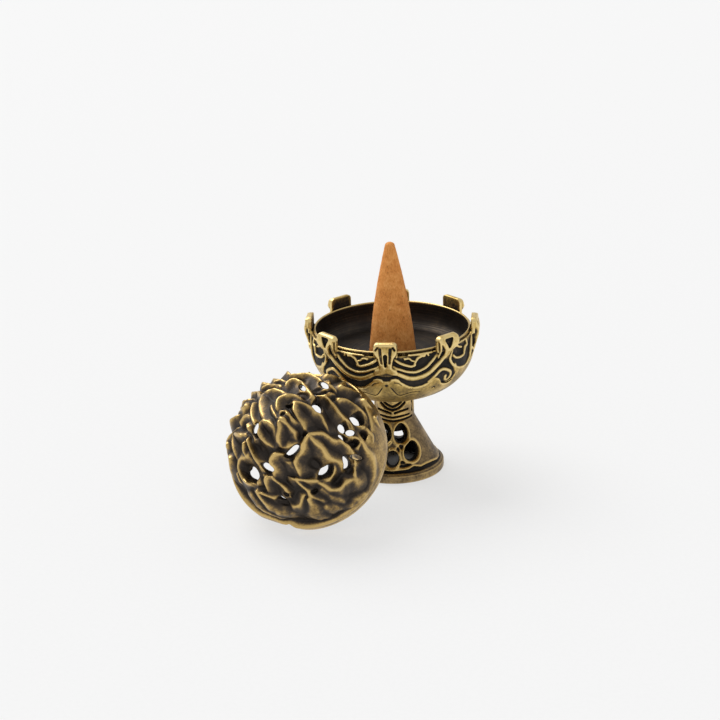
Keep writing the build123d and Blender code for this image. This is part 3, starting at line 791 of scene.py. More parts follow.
# Crests of the lid's crags. Angle (0 level to the right, 90 upwards), distance up the dome
# from the rim, and height over the smooth dome; flank widths to the left and to the right.
LID_CRESTS = [
    (3.0, 0.9, [(80, 29.3, 1.4), (56, 31.4, 1.9), (20, 31.6, 1.8), (350, 30.2, 1.4), (340, 28.9, 0.9)]),
    (0.9, 2.6, [(78, 29.4, 1.5), (46, 28.0, 1.4), (30, 26.0, 1.0), (17, 25.0, 0.6)]),
    (0.9, 2.2, [(84, 33.2, 1.9), (22, 33.2, 1.9), (356, 31.2, 1.3), (342, 30.0, 0.7)]),
    (1.3, 1.6, [(150, 34.6, 1.8), (324, 34.0, 1.7), (320, 31.5, 1.1), (312, 30.0, 0.6)]),
    (2.2, 1.6, [(228, 34.0, 1.8), (256, 32.0, 1.5), (261, 30.4, 1.2), (267, 29.4, 0.8)]),
    (2.6, 0.7, [(262, 29.3, 0.8), (288, 29.0, 0.7), (312, 29.1, 0.5)]),
    (1.2, 3.0, [(128, 31.0, 1.2), (120, 28.8, 1.8), (108, 27.4, 1.9), (90, 26.9, 1.7), (72, 27.6, 1.0)]),
    (1.0, 3.0, [(136, 19.2, 1.4), (130, 20.3, 1.8), (121, 21.6, 1.8), (113, 23.2, 1.4), (104, 25.2, 0.8)]),
    (2.6, 1.0, [(134, 18.8, 1.4), (141, 22.2, 1.9), (154, 26.4, 1.7), (172, 29.6, 0.9)]),
    (1.2, 1.2, [(136, 28.4, 0.9), (146, 31.4, 1.1), (168, 33.2, 0.9)]),
    (2.6, 0.9, [(176, 29.6, 1.3), (189, 27.6, 1.9), (206, 27.5, 1.8), (228, 28.0, 1.3), (246, 28.2, 0.7)]),
    (1.3, 2.0, [(177, 29.8, 1.5), (190, 31.6, 1.6), (226, 32.5, 1.3), (254, 30.6, 0.8), (254, 28.2, 0.5)]),
    (1.2, 1.4, [(150, 19.0, 1.6), (160, 21.6, 1.7), (175, 25.0, 1.3), (188, 26.4, 0.7)]),
    (1.0, 1.3, [(136, 13.0, 1.5), (137, 16.0, 1.7), (139, 19.4, 1.0)]),
    (1.0, 1.4, [(171, 16.6, 1.4), (165, 18.6, 1.7), (166, 21.6, 1.0)]),
    (1.1, 1.1, [(177, 21.8, 1.4), (190, 24.0, 1.3), (203, 24.6, 0.8)]),
    (0.9, 2.0, [(180, 13.0, 1.2), (184, 16.4, 1.7), (188, 20.6, 0.9)]),
    (1.4, 1.4, [(181, 12.4, 1.3), (193, 13.4, 1.5), (206, 14.4, 0.8)]),
    (1.2, 1.1, [(199, 22.4, 1.8), (211, 22.5, 1.7), (222, 22.0, 1.5), (233, 21.0, 1.2), (243, 19.8, 0.7)]),
    (1.1, 1.1, [(199, 19.9, 1.8), (206, 19.0, 1.6), (213, 18.9, 0.9)]),
    (0.9, 2.0, [(214, 19.4, 0.9), (209, 16.4, 1.3), (212, 13.8, 1.4), (218, 12.7, 1.4), (225, 12.8, 1.4),
                (233, 14.4, 1.3), (240, 16.6, 0.9)]),
    (1.0, 1.0, [(214, 11.2, 1.2), (219, 10.3, 0.9)]),
    (2.0, 0.8, [(249, 19.6, 1.8), (248, 17.5, 1.5), (251, 15.2, 0.8)]),
    (0.8, 2.0, [(249, 19.6, 1.8), (257, 19.9, 1.4), (266, 18.4, 1.1), (271, 16.3, 0.6)]),
    (2.2, 1.4, [(242, 13.2, 1.6), (246, 12.0, 1.5), (252, 10.4, 1.3), (259, 9.3, 0.9), (268, 8.9, 0.5)]),
    (1.0, 2.0, [(242, 13.2, 1.6), (250, 14.0, 1.2), (258, 13.6, 0.8)]),
    (0.9, 3.0, [(258, 20.8, 1.0), (254, 23.4, 1.7), (252, 25.0, 1.9), (256, 26.6, 1.9), (268, 27.1, 1.6),
                (282, 26.0, 1.1), (286, 23.0, 0.9), (288, 20.4, 0.6)]),
    (0.9, 3.2, [(290, 20.2, 1.0), (289, 23.0, 1.6), (291, 25.6, 1.9), (297, 27.0, 2.0), (309, 27.6, 2.1),
                (326, 28.5, 2.2), (340, 28.0, 2.1), (350, 26.5, 1.8), (352, 24.0, 1.6), (352, 21.0, 1.5),
                (354, 18.4, 1.5), (351, 15.8, 1.3), (346, 14.0, 1.0), (341, 13.0, 0.8)]),
    (2.6, 2.2, [(338, 27.4, 2.1), (333, 24.5, 2.2), (331, 22.0, 2.2), (331, 20.0, 2.0), (332, 18.0, 1.8),
                (335, 15.8, 1.4), (340, 13.4, 0.9)]),
    (0.8, 2.6, [(285, 20.2, 1.7), (293, 19.5, 1.6), (300, 18.5, 1.5), (306, 17.5, 1.3), (313, 16.8, 1.2),
                (322, 16.8, 1.1), (329, 18.2, 0.9)]),
    (2.2, 2.2, [(306, 17.5, 1.2), (307, 15.4, 1.3), (310, 13.4, 1.3), (316, 12.4, 1.2), (322, 12.0, 1.2),
                (329, 11.4, 1.5), (332, 9.4, 1.3), (332, 7.0, 0.8)]),
    (1.6, 1.0, [(285, 20.0, 1.6), (288, 17.6, 1.4), (291, 16.0, 1.3), (292, 14.5, 1.2), (297, 12.8, 0.9),
                (302, 11.2, 0.5)]),
    (2.6, 1.0, [(290, 13.4, 1.5), (290, 11.0, 1.3), (290, 8.0, 1.1), (293, 5.6, 0.7)]),
    (1.3, 1.3, [(287, 14.8, 1.2), (281, 12.6, 1.1), (275, 11.8, 0.8)]),
    (1.4, 1.4, [(337, 13.2, 1.2), (331, 11.0, 1.4), (330, 8.6, 0.9)]),
    (3.0, 1.1, [(1, 13.6, 1.6), (357, 12.0, 1.5), (353, 9.6, 1.4), (348, 7.5, 1.3), (344, 6.0, 1.2),
                (338, 4.8, 1.1), (331, 4.4, 1.0), (324, 4.6, 1.0), (316, 5.2, 0.9)]),
    (2.4, 0.9, [(52, 21.8, 1.8), (40, 21.0, 1.6), (28, 20.0, 1.3), (18, 18.2, 1.0), (11, 17.0, 0.6)]),
    (1.2, 1.2, [(52, 21.6, 1.8), (56, 19.0, 1.4), (54, 17.0, 0.9)]),
    (1.6, 2.2, [(43, 17.4, 1.8), (40, 15.0, 1.6), (34, 13.4, 1.5), (28, 12.0, 1.4), (22, 11.8, 1.3),
                (15, 12.6, 1.0)]),
    (0.9, 0.9, [(66, 18.2, 1.0), (64, 15.8, 1.8), (58, 15.2, 1.2)]),
    (1.0, 1.4, [(3, 17.4, 1.1), (3, 15.4, 1.3), (0, 14.0, 1.1), (355, 14.2, 0.7)]),
    (1.0, 1.0, [(14, 11.6, 1.2), (10, 10.0, 1.3), (4, 9.4, 1.0)]),
    (1.6, 1.2, [(16, 25.2, 0.6), (8, 24.5, 0.6), (2, 23.9, 0.4)]),
    (0.9, 2.2, [(108, 18.2, 1.3), (101, 17.0, 1.7), (93, 17.9, 1.6), (82, 21.0, 1.3), (69, 23.0, 0.9),
                (58, 23.5, 0.5)]),
    (1.0, 1.3, [(121, 13.8, 1.6), (115, 14.6, 1.5), (108, 17.4, 1.0)]),
    (1.2, 1.8, [(106, 12.2, 1.5), (96, 12.0, 1.5), (88, 12.4, 1.4), (80, 14.0, 1.3), (70, 16.2, 1.1)]),
    (1.0, 1.4, [(131, 12.4, 1.5), (126, 13.4, 1.4), (121, 15.6, 1.2), (114, 18.4, 0.8)]),
    (1.4, 1.4, [(236, 9.8, 0.9), (246, 7.6, 0.9), (258, 6.4, 0.7)]),
    (1.5, 1.5, [(303, 14.8, 0.9), (309, 11.0, 0.8), (312, 8.0, 0.6)]),
    (1.5, 1.5, [(300, 9.6, 0.8), (305, 7.0, 0.8), (313, 5.4, 0.6)]),
]

# Crags on the side that leans towards the burner and low on the left: angle, tip, foot, half angle
LID_PEAKS = [
    (58, 12.8, 5.0, 9), (76, 10.2, 4.2, 8), (155, 13.4, 5.4, 8), (186, 8.6, 3.6, 7), (200, 10.2, 4.2, 8),
    (40, 8.6, 4.0, 8), (24, 7.6, 3.6, 7),
]

# Angles of the sharp fins low on the side that leans towards the burner, and their sizes
LID_FINS = [(79, 0.45), (96, 0.5), (112, 1.1), (123, 0.8), (132, 1.1), (142, 0.9), (153, 1.1), (169, 1.2),
            (184, 0.9)]

# Through-holes: angle, distance up the dome, half width round it, half length up it, tilt
LID_HOLES = [
    (23, 13.2, 1.45, 1.9, -15), (12, 18.0, 1.15, 1.0, 0), (359, 18.0, 0.95, 1.05, 0),
    (44, 24.2, 1.5, 2.3, 35), (82, 24.8, 1.6, 1.2, 15), (65, 19.6, 1.2, 1.8, 55), (193, 24.4, 1.45, 0.85, 20),
    (290, 26.9, 2.0, 0.85, 20), (243, 20.6, 1.7, 0.75, -18), (228, 15.2, 2.0, 1.3, -10),
    (316, 17.9, 1.6, 0.9, 20), (338, 15.0, 1.1, 1.8, -35), (264, 12.5, 0.8, 0.45, -20),
    (100, 14.8, 1.3, 1.0, 0), (128, 16.6, 1.2, 0.9, 0), (161, 16.2, 1.4, 1.7, 0), (84, 7.6, 1.3, 0.9, 0),
    (116, 7.2, 1.3, 0.9, 0), (148, 7.4, 1.3, 0.9, 0),
]

# Holes cast straight through along the mould's draw, in the plane square to it: across, up, half
# width, half height, tilt. The plane's own directions are given in the lid's x, y and z.
LID_DRAWN_HOLES = [
    (-0.8, 16.7, 1.05, 0.6, -35), (4.4, 17.2, 1.4, 0.65, -30), (-12.3, 7.0, 1.4, 0.65, 65),
    (-9.4, -2.6, 1.6, 0.75, -28), (-13.3, -4.5, 1.4, 0.95, -35), (12.0, -0.8, 1.6, 0.6, -15),
    (10.7, 5.2, 1.1, 0.75, 0),
]
DRAWN_ACROSS = (0.966, 0.168, -0.197)
DRAWN_UP = (-0.094, 0.937, 0.336)

# The notch in the rim: its angle, height and width
NOTCH_TURN = 266.5
NOTCH_HIGH = 2.7
NOTCH_WIDE = 3.1

# Height of the plain wall over the rim, round the lid from 280 degrees on: angles and heights
WALL_START = 280
LID_WALL = ([0, 36, 44, 51, 59, 68, 73, 76, 81, 95, 120, 135, 150, 200, 280, 300, 360],
            [3.4, 4.4, 4.2, 4.0, 5.2, 7.6, 9.6, 11.5, 13.0, 10.6, 10.0, 6.0, 3.6, 3.0, 3.0, 3.2, 3.4])

# Blind pits between crests: angle, distance, radius, depth
LID_PITS = [
    (86, 30.6, 0.9, 1.6), (269, 15.4, 0.9, 1.3), (336, 29.2, 0.8, 1.0), (296, 15.4, 0.8, 1.0),
    (100, 33.6, 0.8, 1.2), (312, 22.0, 1.9, 0.9), (320, 14.4, 2.0, 0.7), (358, 15.6, 1.3, 1.2),
    (8, 12.6, 1.4, 1.0), (222, 16.6, 1.6, 1.0),
]
# The valleys' floor and the inside, measured from the smooth dome
LID_BASE = -1.5
LID_INNER = 2.3
# A crest's rounding, how far it is lowered, how hollow its flanks are, and how far it leans down
CREST_ROUND = 0.16
CREST_SINK = 0.5
CREST_SCOOP = 1.45
CREST_LEAN = 0.45
LEAN_LEVEL = 0.8
# The plain wall's height, the flutes' and the wobble's size, and the dent in the rim by the notch
WALL_HIGH = 0.35
FLUTE_HIGH = 0.06
WOBBLE = 0.2
DENT_TURN = 254.0
DENT_DEPTH = 0.9
LID_DETAIL = (0.18, 200000)
LID_GRID_EDGE = 23.4
LID_GRID_TOP = 30.5


def lid_outline():
    """Dense outline of the smooth dome from the rim to its top."""
    points = curve_through(LID_OUTLINE, 20)
    return [(max(0.0, float(r)), float(h)) for r, h in points]


def lid_relief():
    """Crags, valleys and holes of the mountain over the smooth dome."""
    relief = Relief(lid_outline(), -6.0, 366.0, 0.5)
    turn = relief.a % 360.0
    band = np.interp((turn - WALL_START) % 360, *LID_WALL)
    wall = smoothstep((band + 0.5 - relief.s) / 1.1)
    wavy = 0.22 * np.sin(np.radians(turn * 7 + 40)) * np.sin(relief.s * 0.55)
    relief.height = (LID_BASE + wavy) * (1 - wall) + WALL_HIGH * wall
    relief.wall = wall
    low_front = smoothstep((13.0 - relief.s) / 4.0)
    low_front *= smoothstep((np.cos(np.radians(turn - 290.0)) - 0.2) / 0.4)

    def crest(left, right, points):
        unwrapped = [list(points[0])]
        for angle, along, height in points[1:]:
            before = unwrapped[-1][0]
            unwrapped.append([before + turn_between(before, angle), along, height])
        if max(p[1] for p in unwrapped) > 32.5:
            unwrapped = across_top(unwrapped)
        mask, distance, side, height = relief.measure(unwrapped, 2.1 * max(left, right) + 1.2)
        height = height - CREST_SINK
        swell = 1.0 + 0.35 * low_front[mask]
        width = (np.where(side > 0, left, right) * 1.5 + 0.7) * swell
        rounding = CREST_ROUND + 0.9 * low_front[mask]
        eased = np.sqrt(distance ** 2 + rounding ** 2) - rounding
        fall = np.clip(1.0 - eased / width, 0.0, 1.0)
        shape = fall ** CREST_SCOOP
        rise = LID_BASE + (height - LID_BASE) * shape
        before = relief.height[mask]
        relief.height[mask] = np.where(fall > 0.0, smooth_max(before, rise, 0.2), before)

    def across_top(points):
        """Points near the top joined in the dome's own plane instead of round it."""
        dense = []
        last = points[0][0]
        for (a0, s0, h0), (a1, s1, h1) in zip(points, points[1:]):
            angles, away = np.radians([a0, a1]), relief.at[-1] - np.array([s0, s1])
            start, end = np.stack([away * np.cos(angles), away * np.sin(angles)], axis=1)
            for t in np.linspace(0, 1, 7)[:-1]:
                place = start + (end - start) * t
                last += turn_between(last, math.degrees(math.atan2(place[1], place[0])))
                dense.append((last, relief.at[-1] - float(np.hypot(*place)), h0 + (h1 - h0) * t))
        angle, along, height = points[-1]
        dense.append((last + turn_between(last, angle), along, height))
        return dense

    for left, right, points in LID_CRESTS:
        crest(left, right, points)
    for angle, tip, foot, half in LID_PEAKS:
        middle = (tip + foot) / 2
        crest(0.8, 2.2, [(angle + half, foot, 0.5), (angle + half * 0.55, middle, 1.1), (angle, tip, 1.7),
                         (angle - half * 0.6, middle + 0.6, 1.1), (angle - half, foot + 0.5, 0.4)])
    for angle, size in LID_FINS:
        crest(0.5, 2.6, [(angle + 2, 3.6, 0.4), (angle, 6.0, 1.4 * size), (angle - 2, 8.5, 1.8 * size),
                         (angle - 5, 11.0, 1.3 * size), (angle - 9, 13.0, 0.6)])
    across = relief.place @ np.array([0.9, 0.35, 0.2])
    upward = relief.place @ np.array([-0.3, 0.6, 0.7])
    flutes = np.sin(across * 3.1 + 1.4 * np.sin(upward * 0.7)) + np.sin(across * 1.7 - upward * 1.1 + 2.0)
    relief.height += FLUTE_HIGH * flutes * (1 - wall)
    distance = np.full(relief.a.shape, 3.0)
    for angle, along, wide, tall, tilt in LID_HOLES:
        x = np.radians(turn_between(angle, turn)) * np.interp(along, relief.at, relief.outline[:, 0])
        distance = np.minimum(distance, oval(x, relief.s - along, wide, tall, tilt))
    relief.height -= 0.7 * smoothstep(1.0 - distance / 0.8)
    for angle, along, radius, depth in LID_PITS:
        centre = relief.point(np.array([float(angle)]), np.array([float(along)]))[0]
        away = np.linalg.norm(relief.place - centre, axis=-1)
        relief.height -= depth * smoothstep(1.2 - away / radius)
    relief.height = np.maximum(relief.height, 0.75 - LID_INNER)
    dent = np.exp(-((turn - DENT_TURN) / 13.0) ** 2) * smoothstep((7.5 - relief.s) / 3.0)
    relief.height -= DENT_DEPTH * dent
    relief.height = np.minimum(relief.height, 0.1 + 2.6 * smoothstep((relief.s - 2.0) / 2.0))
    relief.holes = distance
    return relief


class DomeTable:
    """Signed distance over the smooth dome, and distance up it, as tables over (radius, height)."""
    STEP = 0.1
    LOW = -2.0

    def __init__(self, relief):
        radii, heights = np.arange(0.0, 26.0, self.STEP), np.arange(self.LOW, 33.0, self.STEP)
        r, h = np.meshgrid(radii, heights, indexing="ij")
        best = np.full(r.shape, 1e9)
        along = np.zeros(r.shape)
        outside = np.ones(r.shape)
        for index, (start, end) in enumerate(zip(relief.outline, relief.outline[1:])):
            share, distance = to_segment(r, h, start, end)
            nearer = distance < best
            best = np.where(nearer, distance, best)
            place = relief.at[index] + share * (relief.at[index + 1] - relief.at[index])
            along = np.where(nearer, place, along)
            sign = np.sign((r - start[0]) * (end[1] - start[1]) - (h - start[1]) * (end[0] - start[0]))
            outside = np.where(nearer, sign, outside)
        best *= np.where(outside == 0, 1.0, outside)
        self.over = np.where(h < 0, r - LID_RADIUS, best).astype(np.float32)
        self.along = np.where(h < 0, 0.0, along).astype(np.float32)

    def __call__(self, x, y, z):
        u, v = np.hypot(x, y) / self.STEP, (z - self.LOW) / self.STEP
        return look_up(self.over, u, v), look_up(self.along, u, v)


def drawn_holes(x, y, z):
    """Rough signed distance from the holes that run along the mould's draw."""
    across, up = [part[0] * x + part[1] * y + part[2] * z for part in (DRAWN_ACROSS, DRAWN_UP)]
    nearest = np.full(x.shape, 3.0)
    for middle, level, wide, tall, tilt in LID_DRAWN_HOLES:
        nearest = np.minimum(nearest, oval(across - middle, up - level, wide, tall, tilt))
    return nearest


def make_lid():
    """Pierced mountain lid, sculpted in its own frame and put where it leans."""
    relief = lid_relief().settle()
    dome = DomeTable(relief)

    def field(x, y, z):
        above = smoothstep((z - 2.5) / 2.0)
        shaken_x = x + WOBBLE * above * np.sin(0.9 * y + 0.7 * z + 0.6)
        shaken_y = y + WOBBLE * above * np.sin(0.8 * x - 0.8 * z + 2.0)
        turn = np.degrees(np.arctan2(shaken_y, shaken_x)) % 360.0
        w, s = dome(x, y, z)
        s = s + 1.1 * WOBBLE * above * np.sin(0.9 * x + 0.8 * y)
        over_level = np.clip(w, LID_BASE, 2.0) - LEAN_LEVEL
        leant = np.maximum(s - CREST_LEAN * over_level * smoothstep((s - 3.0) / 4.0), 0.0)
        body = relief.raised(w, turn, leant)
        body = smooth_max(body, 0.1 - relief.sample(relief.holes, turn, s), 0.5)
        body = smooth_max(body, -drawn_holes(x, y, z), 0.35)
        from_notch = np.radians(turn_between(NOTCH_TURN, turn)) * np.hypot(x, y)
        rim_line = NOTCH_HIGH * np.exp(-(from_notch / NOTCH_WIDE) ** 2)
        return smooth_max(body, rim_line - z, 0.4), -(w + LID_INNER)

    def lift(x, y, z):
        """How far up its crag a place is; the plain wall is half worn, and the inside is dark."""
        w, s = dome(x, y, z)
        turn = np.degrees(np.arctan2(y, x)) % 360.0
        wall = relief.sample(relief.wall, turn, s)
        outside = smoothstep((w + 1.6) / 0.5)
        return ((w - LID_BASE) / 2.8 * (1 - wall) + 1.45 * wall) * outside

    def soften(z):
        return 0.45 * smoothstep((z - 1.2) / 1.5)

    low = (-LID_GRID_EDGE, -LID_GRID_EDGE, -0.6)
    high = (LID_GRID_EDGE, LID_GRID_EDGE, LID_GRID_TOP)
    return sculpt("lid_casting", field, lift, low, high, LID_DETAIL, lid_frame(), soften)


# ------------------------------------------------------------------ dish and incense

# The dish's wall, the radius of its lip, and the depth of its tool marks
DISH_WALL = 0.65
LIP_ROUND = 0.32
MARK_DEPTH = 0.018


def make_dish():
    """Turned dish with a rounded lip; the tool marks are tiny waves in its outline."""
    inner = DISH_RADIUS - DISH_WALL
    outline = [(0.0, DISH_BOTTOM), (8.0, DISH_BOTTOM), (17.2, DISH_BOTTOM), (18.6, 32.5), (19.6, 33.4),
               (20.4, 34.9), (DISH_RADIUS, 36.6), (DISH_RADIUS, LIP_TOP - 0.3)]
    outline += arc_points((DISH_RADIUS - LIP_ROUND, LIP_TOP - LIP_ROUND), LIP_ROUND, 0, 180, 10)
    outline += [(inner, LIP_TOP - 0.8), (inner, 38.5), (inner, 37.0), (inner - 0.3, 35.3),
                (inner - 0.9, 34.2), (inner - 1.9, 33.4), (17.2, 33.07)]
    for radius in np.arange(16.6, 0.4, -0.2):
        outline.append((radius, CONE_BASE + MARK_DEPTH * (math.sin(radius * 9.0) - 1.0)))
    outline.append((0.0, CONE_BASE - MARK_DEPTH))
    dish = lathe("dish_turning", outline, 256)
    set_attribute(dish, "crest", smoothstep((points_mm(dish)[:, 2] - (LIP_TOP - 0.45)) / 0.3))
    return dish


# The cone's worn tip, how far its sides swell, and the grain: the room that is left for it inside
# the frame's cone, and the number and height of its waves
CONE_TIP_RADIUS = 1.05
CONE_SWELL = 0.62
GRAIN_ROOM = 0.08
GRAIN_WAVES = 26
GRAIN_HIGH = 0.004


def make_incense():
    """Pressed incense cone with swelling sides, a worn tip and a slightly grainy surface."""
    top = CONE_TIP - 0.03
    outline = [(0.0, CONE_BASE), (3.0, CONE_BASE), (CONE_RADIUS - 0.15, CONE_BASE),
               (CONE_RADIUS - 0.04, CONE_BASE + 0.12)]
    widest = CONE_RADIUS - GRAIN_ROOM
    for t in np.linspace(0.02, 0.965, 90):
        swell = CONE_SWELL * math.sin(math.pi * t) ** 0.9
        radius = widest * (1 - t) + CONE_TIP_RADIUS * t + swell
        outline.append((min(radius, widest), CONE_BASE + t * (CONE_TIP - CONE_BASE)))
    shoulder, start = outline[-1]
    for turn in np.radians(np.linspace(20, 88, 10)):
        outline.append((shoulder * math.cos(turn), start + (top - start) * math.sin(turn)))
    outline.append((0.0, top))
    rng = np.random.default_rng(11)
    waves = [(rng.integers(2, 40), rng.uniform(0.2, 6.0), rng.uniform(0, 6.28)) for _ in range(GRAIN_WAVES)]

    def wobble(turn, z):
        total = sum(math.sin(k * turn + kz * z + phase) for k, kz, phase in waves)
        fade = min(1.0, max(0.0, (z - CONE_BASE) / 0.5))
        return GRAIN_HIGH * total * fade

    return lathe("incense_stick", outline, 160, wobble)


# ------------------------------------------------------------------ materials

class Nodes:
    """Short calls for building a material's node tree."""

    def __init__(self, name):
        self.material = bpy.data.materials.new(name)
        self.material.use_nodes = True
        self.tree = self.material.node_tree
        self.shader = self.tree.nodes["Principled BSDF"]
        self.place = self.add("TexCoord").outputs["Object"]

    def add(self, kind, **settings):
        node = self.tree.nodes.new("ShaderNode" + kind)
        for key, value in settings.items():
            setattr(node, key, value)
        return node

    def link(self, source, target):
        self.tree.links.new(source, target)

    def shade(self, **sources):
        """Links or sets the shader's own sockets, named with _ for a space."""
        for name, source in sources.items():
            socket = self.shader.inputs[name.replace("_", " ")]
            if isinstance(source, (int, float, tuple)):
                socket.default_value = source
            else:
                self.link(source, socket)

    def math(self, operation, a, b=0.0, clamp=False):
        node = self.add("Math", operation=operation, use_clamp=clamp)
        for socket, value in zip(node.inputs, (a, b)):
            if isinstance(value, (int, float)):
                socket.default_value = value
            else:
                self.link(value, socket)
        return node.outputs[0]

    def noise(self, vector, scale, detail=3.0, roughness=0.55):
        node = self.add("TexNoise")
        node.inputs["Scale"].default_value = scale
        node.inputs["Detail"].default_value = detail
        node.inputs["Roughness"].default_value = roughness
        self.link(vector, node.inputs["Vector"])
        return node.outputs["Fac"]

    def ramp(self, value, stops):
        """Colour ramp through stops of place, red, green and blue, as 0-255 display levels."""
        node = self.add("ValToRGB")
        elements = node.color_ramp.elements
        while len(elements) < len(stops):
            elements.new(0.5)
        for element, (place, *levels) in zip(elements, stops):
            element.position = place
            element.color = (*srgb(*levels), 1.0)
        self.link(value, node.inputs["Fac"])
        return node.outputs["Color"]

    def vary(self, noise, low, high):
        """The middle of a noise's range spread between two values."""
        return self.spread(noise, 0.3, 0.7, low, high)

    def spread(self, value, low, high, out_low, out_high):
        node = self.add("MapRange")
        for name, number in zip(("From Min", "From Max", "To Min", "To Max"), (low, high, out_low, out_high)):
            node.inputs[name].default_value = number
        self.link(value, node.inputs["Value"])
        return node.outputs["Result"]

    def bump(self, height, distance, strength=1.0, after=None):
        node = self.add("Bump")
        node.inputs["Strength"].default_value = strength
        node.inputs["Distance"].default_value = distance
        self.link(height, node.inputs["Height"])
        if after is not None:
            self.link(after, node.inputs["Normal"])
        return node.outputs["Normal"]


def srgb(*levels):
    """Linear colour from 0-255 display levels."""
    return tuple(((v / 255 + 0.055) / 1.055) ** 2.4 if v > 10 else v / 255 / 12.92 for v in levels)


# A casting's patina: the ramp from its dark to its rubbed gold, how much crest, form and lift count,
# the level that they are added to, and the roughness where it is dark and where it is rubbed
FOOT_PATINA = ([(0.0, 28, 25, 23), (0.25, 54, 46, 39), (0.45, 112, 94, 68), (0.65, 156, 132, 92),
                (0.95, 212, 180, 114)], (0.4, 0.2, 0.4), 0.11, (0.6, 0.36))
BOWL_PATINA = ([(0.0, 34, 31, 28), (0.25, 58, 50, 43), (0.42, 110, 93, 60), (0.6, 164, 138, 80),
                (0.8, 206, 175, 104), (1.0, 234, 208, 144)], (0.42, 0.2, 0.44), 0.14, (0.6, 0.34))
LID_PATINA = ([(0.0, 46, 40, 35), (0.32, 72, 62, 52), (0.5, 104, 88, 64), (0.68, 154, 127, 80),
               (0.92, 206, 175, 112)], (0.24, 0.4, 0.34), 0.14, (0.52, 0.32))
DISH_RAMP = [(0.0, 22, 20, 19), (0.25, 54, 48, 43), (0.5, 98, 84, 66), (0.95, 210, 182, 120)]
# The screw's and washer's brass, darkened with painted shade for their place inside the hollow foot
SCREW_BRASS_PAINTED_SHADE_RAMP = [(0.25, 30, 27, 24), (0.6, 48, 42, 35), (0.85, 84, 70, 46)]
INCENSE_RAMP = [(0.3, 168, 96, 44), (0.46, 216, 140, 70), (0.58, 234, 162, 90), (0.72, 248, 194, 128)]
FLECK_COLOUR = (112, 70, 48)
FLOOR_RAMP = [(0.3, 141.4, 141.4, 141.4), (0.7, 143.8, 143.8, 143.8)]


def antique_brass(name, stops, gains, level, roughness):
    """Patinated brass: dark in the recesses, rubbed to gold on the crests."""
    n = Nodes(name)
    broad = n.noise(n.place, 260.0, 3.0, 0.6)
    fine = n.noise(n.place, 1700.0, 4.0, 0.65)
    wear = n.math("ADD", n.vary(broad, -0.17, 0.17), n.vary(fine, -0.13, 0.11))
    for attribute, gain in zip(("crest", "form", "lift"), gains):
        value = n.add("Attribute", attribute_name=attribute).outputs["Fac"]
        wear = n.math("ADD", wear, n.math("MULTIPLY", value, gain))
    wear = n.math("ADD", wear, level, clamp=True)
    rough = n.math("ADD", n.spread(wear, 0.1, 0.9, *roughness), n.vary(fine, -0.05, 0.07))
    grain = n.math("ADD", n.math("MULTIPLY", fine, 0.5), n.math("MULTIPLY", broad, 0.5))
    n.shade(Base_Color=n.ramp(wear, stops), Metallic=n.spread(wear, 0.15, 0.8, 0.72, 1.0),
            Roughness=rough, Normal=n.bump(grain, 0.00010, 0.55))
    return n.material


def turned_brass(name):
    """Blackened turned brass with fine concentric tool marks and a bright lip."""
    n = Nodes(name)
    split = n.add("SeparateXYZ")
    n.link(n.place, split.inputs[0])
    x, y, z = split.outputs
    radius = n.math("SQRT", n.math("ADD", n.math("MULTIPLY", x, x), n.math("MULTIPLY", y, y)))
    join = n.add("CombineXYZ")
    for socket, value, scale in zip(join.inputs, (radius, z, x), (3200.0, 3200.0, 60.0)):
        n.link(n.math("MULTIPLY", value, scale), socket)
    lines = n.noise(join.outputs[0], 1.0, 4.0, 0.7)
    patches = n.noise(n.place, 190.0, 4.0, 0.6)
    crest = n.add("Attribute", attribute_name="crest").outputs["Fac"]
    wear = n.math("ADD", n.vary(lines, -0.10, 0.14), n.vary(patches, -0.08, 0.12))
    wear = n.math("ADD", n.math("ADD", wear, 0.2), n.math("MULTIPLY", crest, 0.75), clamp=True)
    n.shade(Base_Color=n.ramp(wear, DISH_RAMP), Metallic=n.spread(wear, 0.1, 0.8, 0.8, 1.0),
            Roughness=n.spread(wear, 0.0, 1.0, 0.5, 0.27), Normal=n.bump(lines, 0.00008, 0.6))
    return n.material


def brass_with_painted_shade(name):
    """Screw brass painted dark: the darkness is painted shade for the shade inside the hollow foot."""
    n = Nodes(name)
    patches = n.noise(n.place, 500.0, 4.0, 0.6)
    grain = n.noise(n.place, 4200.0, 2.0, 0.5)
    n.shade(Base_Color=n.ramp(patches, SCREW_BRASS_PAINTED_SHADE_RAMP), Metallic=0.8,
            Roughness=n.vary(grain, 0.5, 0.66), Normal=n.bump(grain, 0.00004, 0.5))
    return n.material


def incense_powder(name):
    """Pressed wood powder: warm orange brown, mottled, with dark flecks."""
    n = Nodes(name)
    mapping = n.add("Mapping")
    mapping.inputs["Scale"].default_value = (1.0, 1.0, 0.45)
    n.link(n.place, mapping.inputs["Vector"])
    stretched = mapping.outputs["Vector"]
    mottle = n.noise(n.place, 420.0, 4.0, 0.65)
    grain = n.noise(stretched, 3200.0, 3.0, 0.7)
    flecks = n.add("TexVoronoi")
    flecks.inputs["Scale"].default_value = 950.0
    n.link(stretched, flecks.inputs["Vector"])
    mix = n.math("ADD", n.math("MULTIPLY", mottle, 0.45), n.math("MULTIPLY", grain, 0.55))
    darken = n.add("Mix", data_type="RGBA", blend_type="MULTIPLY")
    spot = n.spread(flecks.outputs["Distance"], 0.06, 0.17, 1.0, 0.0)
    chance = n.spread(n.noise(n.place, 1300.0, 1.0, 0.5), 0.47, 0.55, 0.0, 0.85)
    n.link(n.math("MULTIPLY", spot, chance), darken.inputs["Factor"])
    n.link(n.ramp(mix, INCENSE_RAMP), darken.inputs["A"])
    darken.inputs["B"].default_value = (*srgb(*FLECK_COLOUR), 1.0)
    n.shade(Base_Color=darken.outputs["Result"], Roughness=n.vary(grain, 0.85, 0.97),
            Normal=n.bump(mottle, 0.0005, 0.4, n.bump(grain, 0.00022, 0.6)), Specular_IOR_Level=0.25)
    return n.material


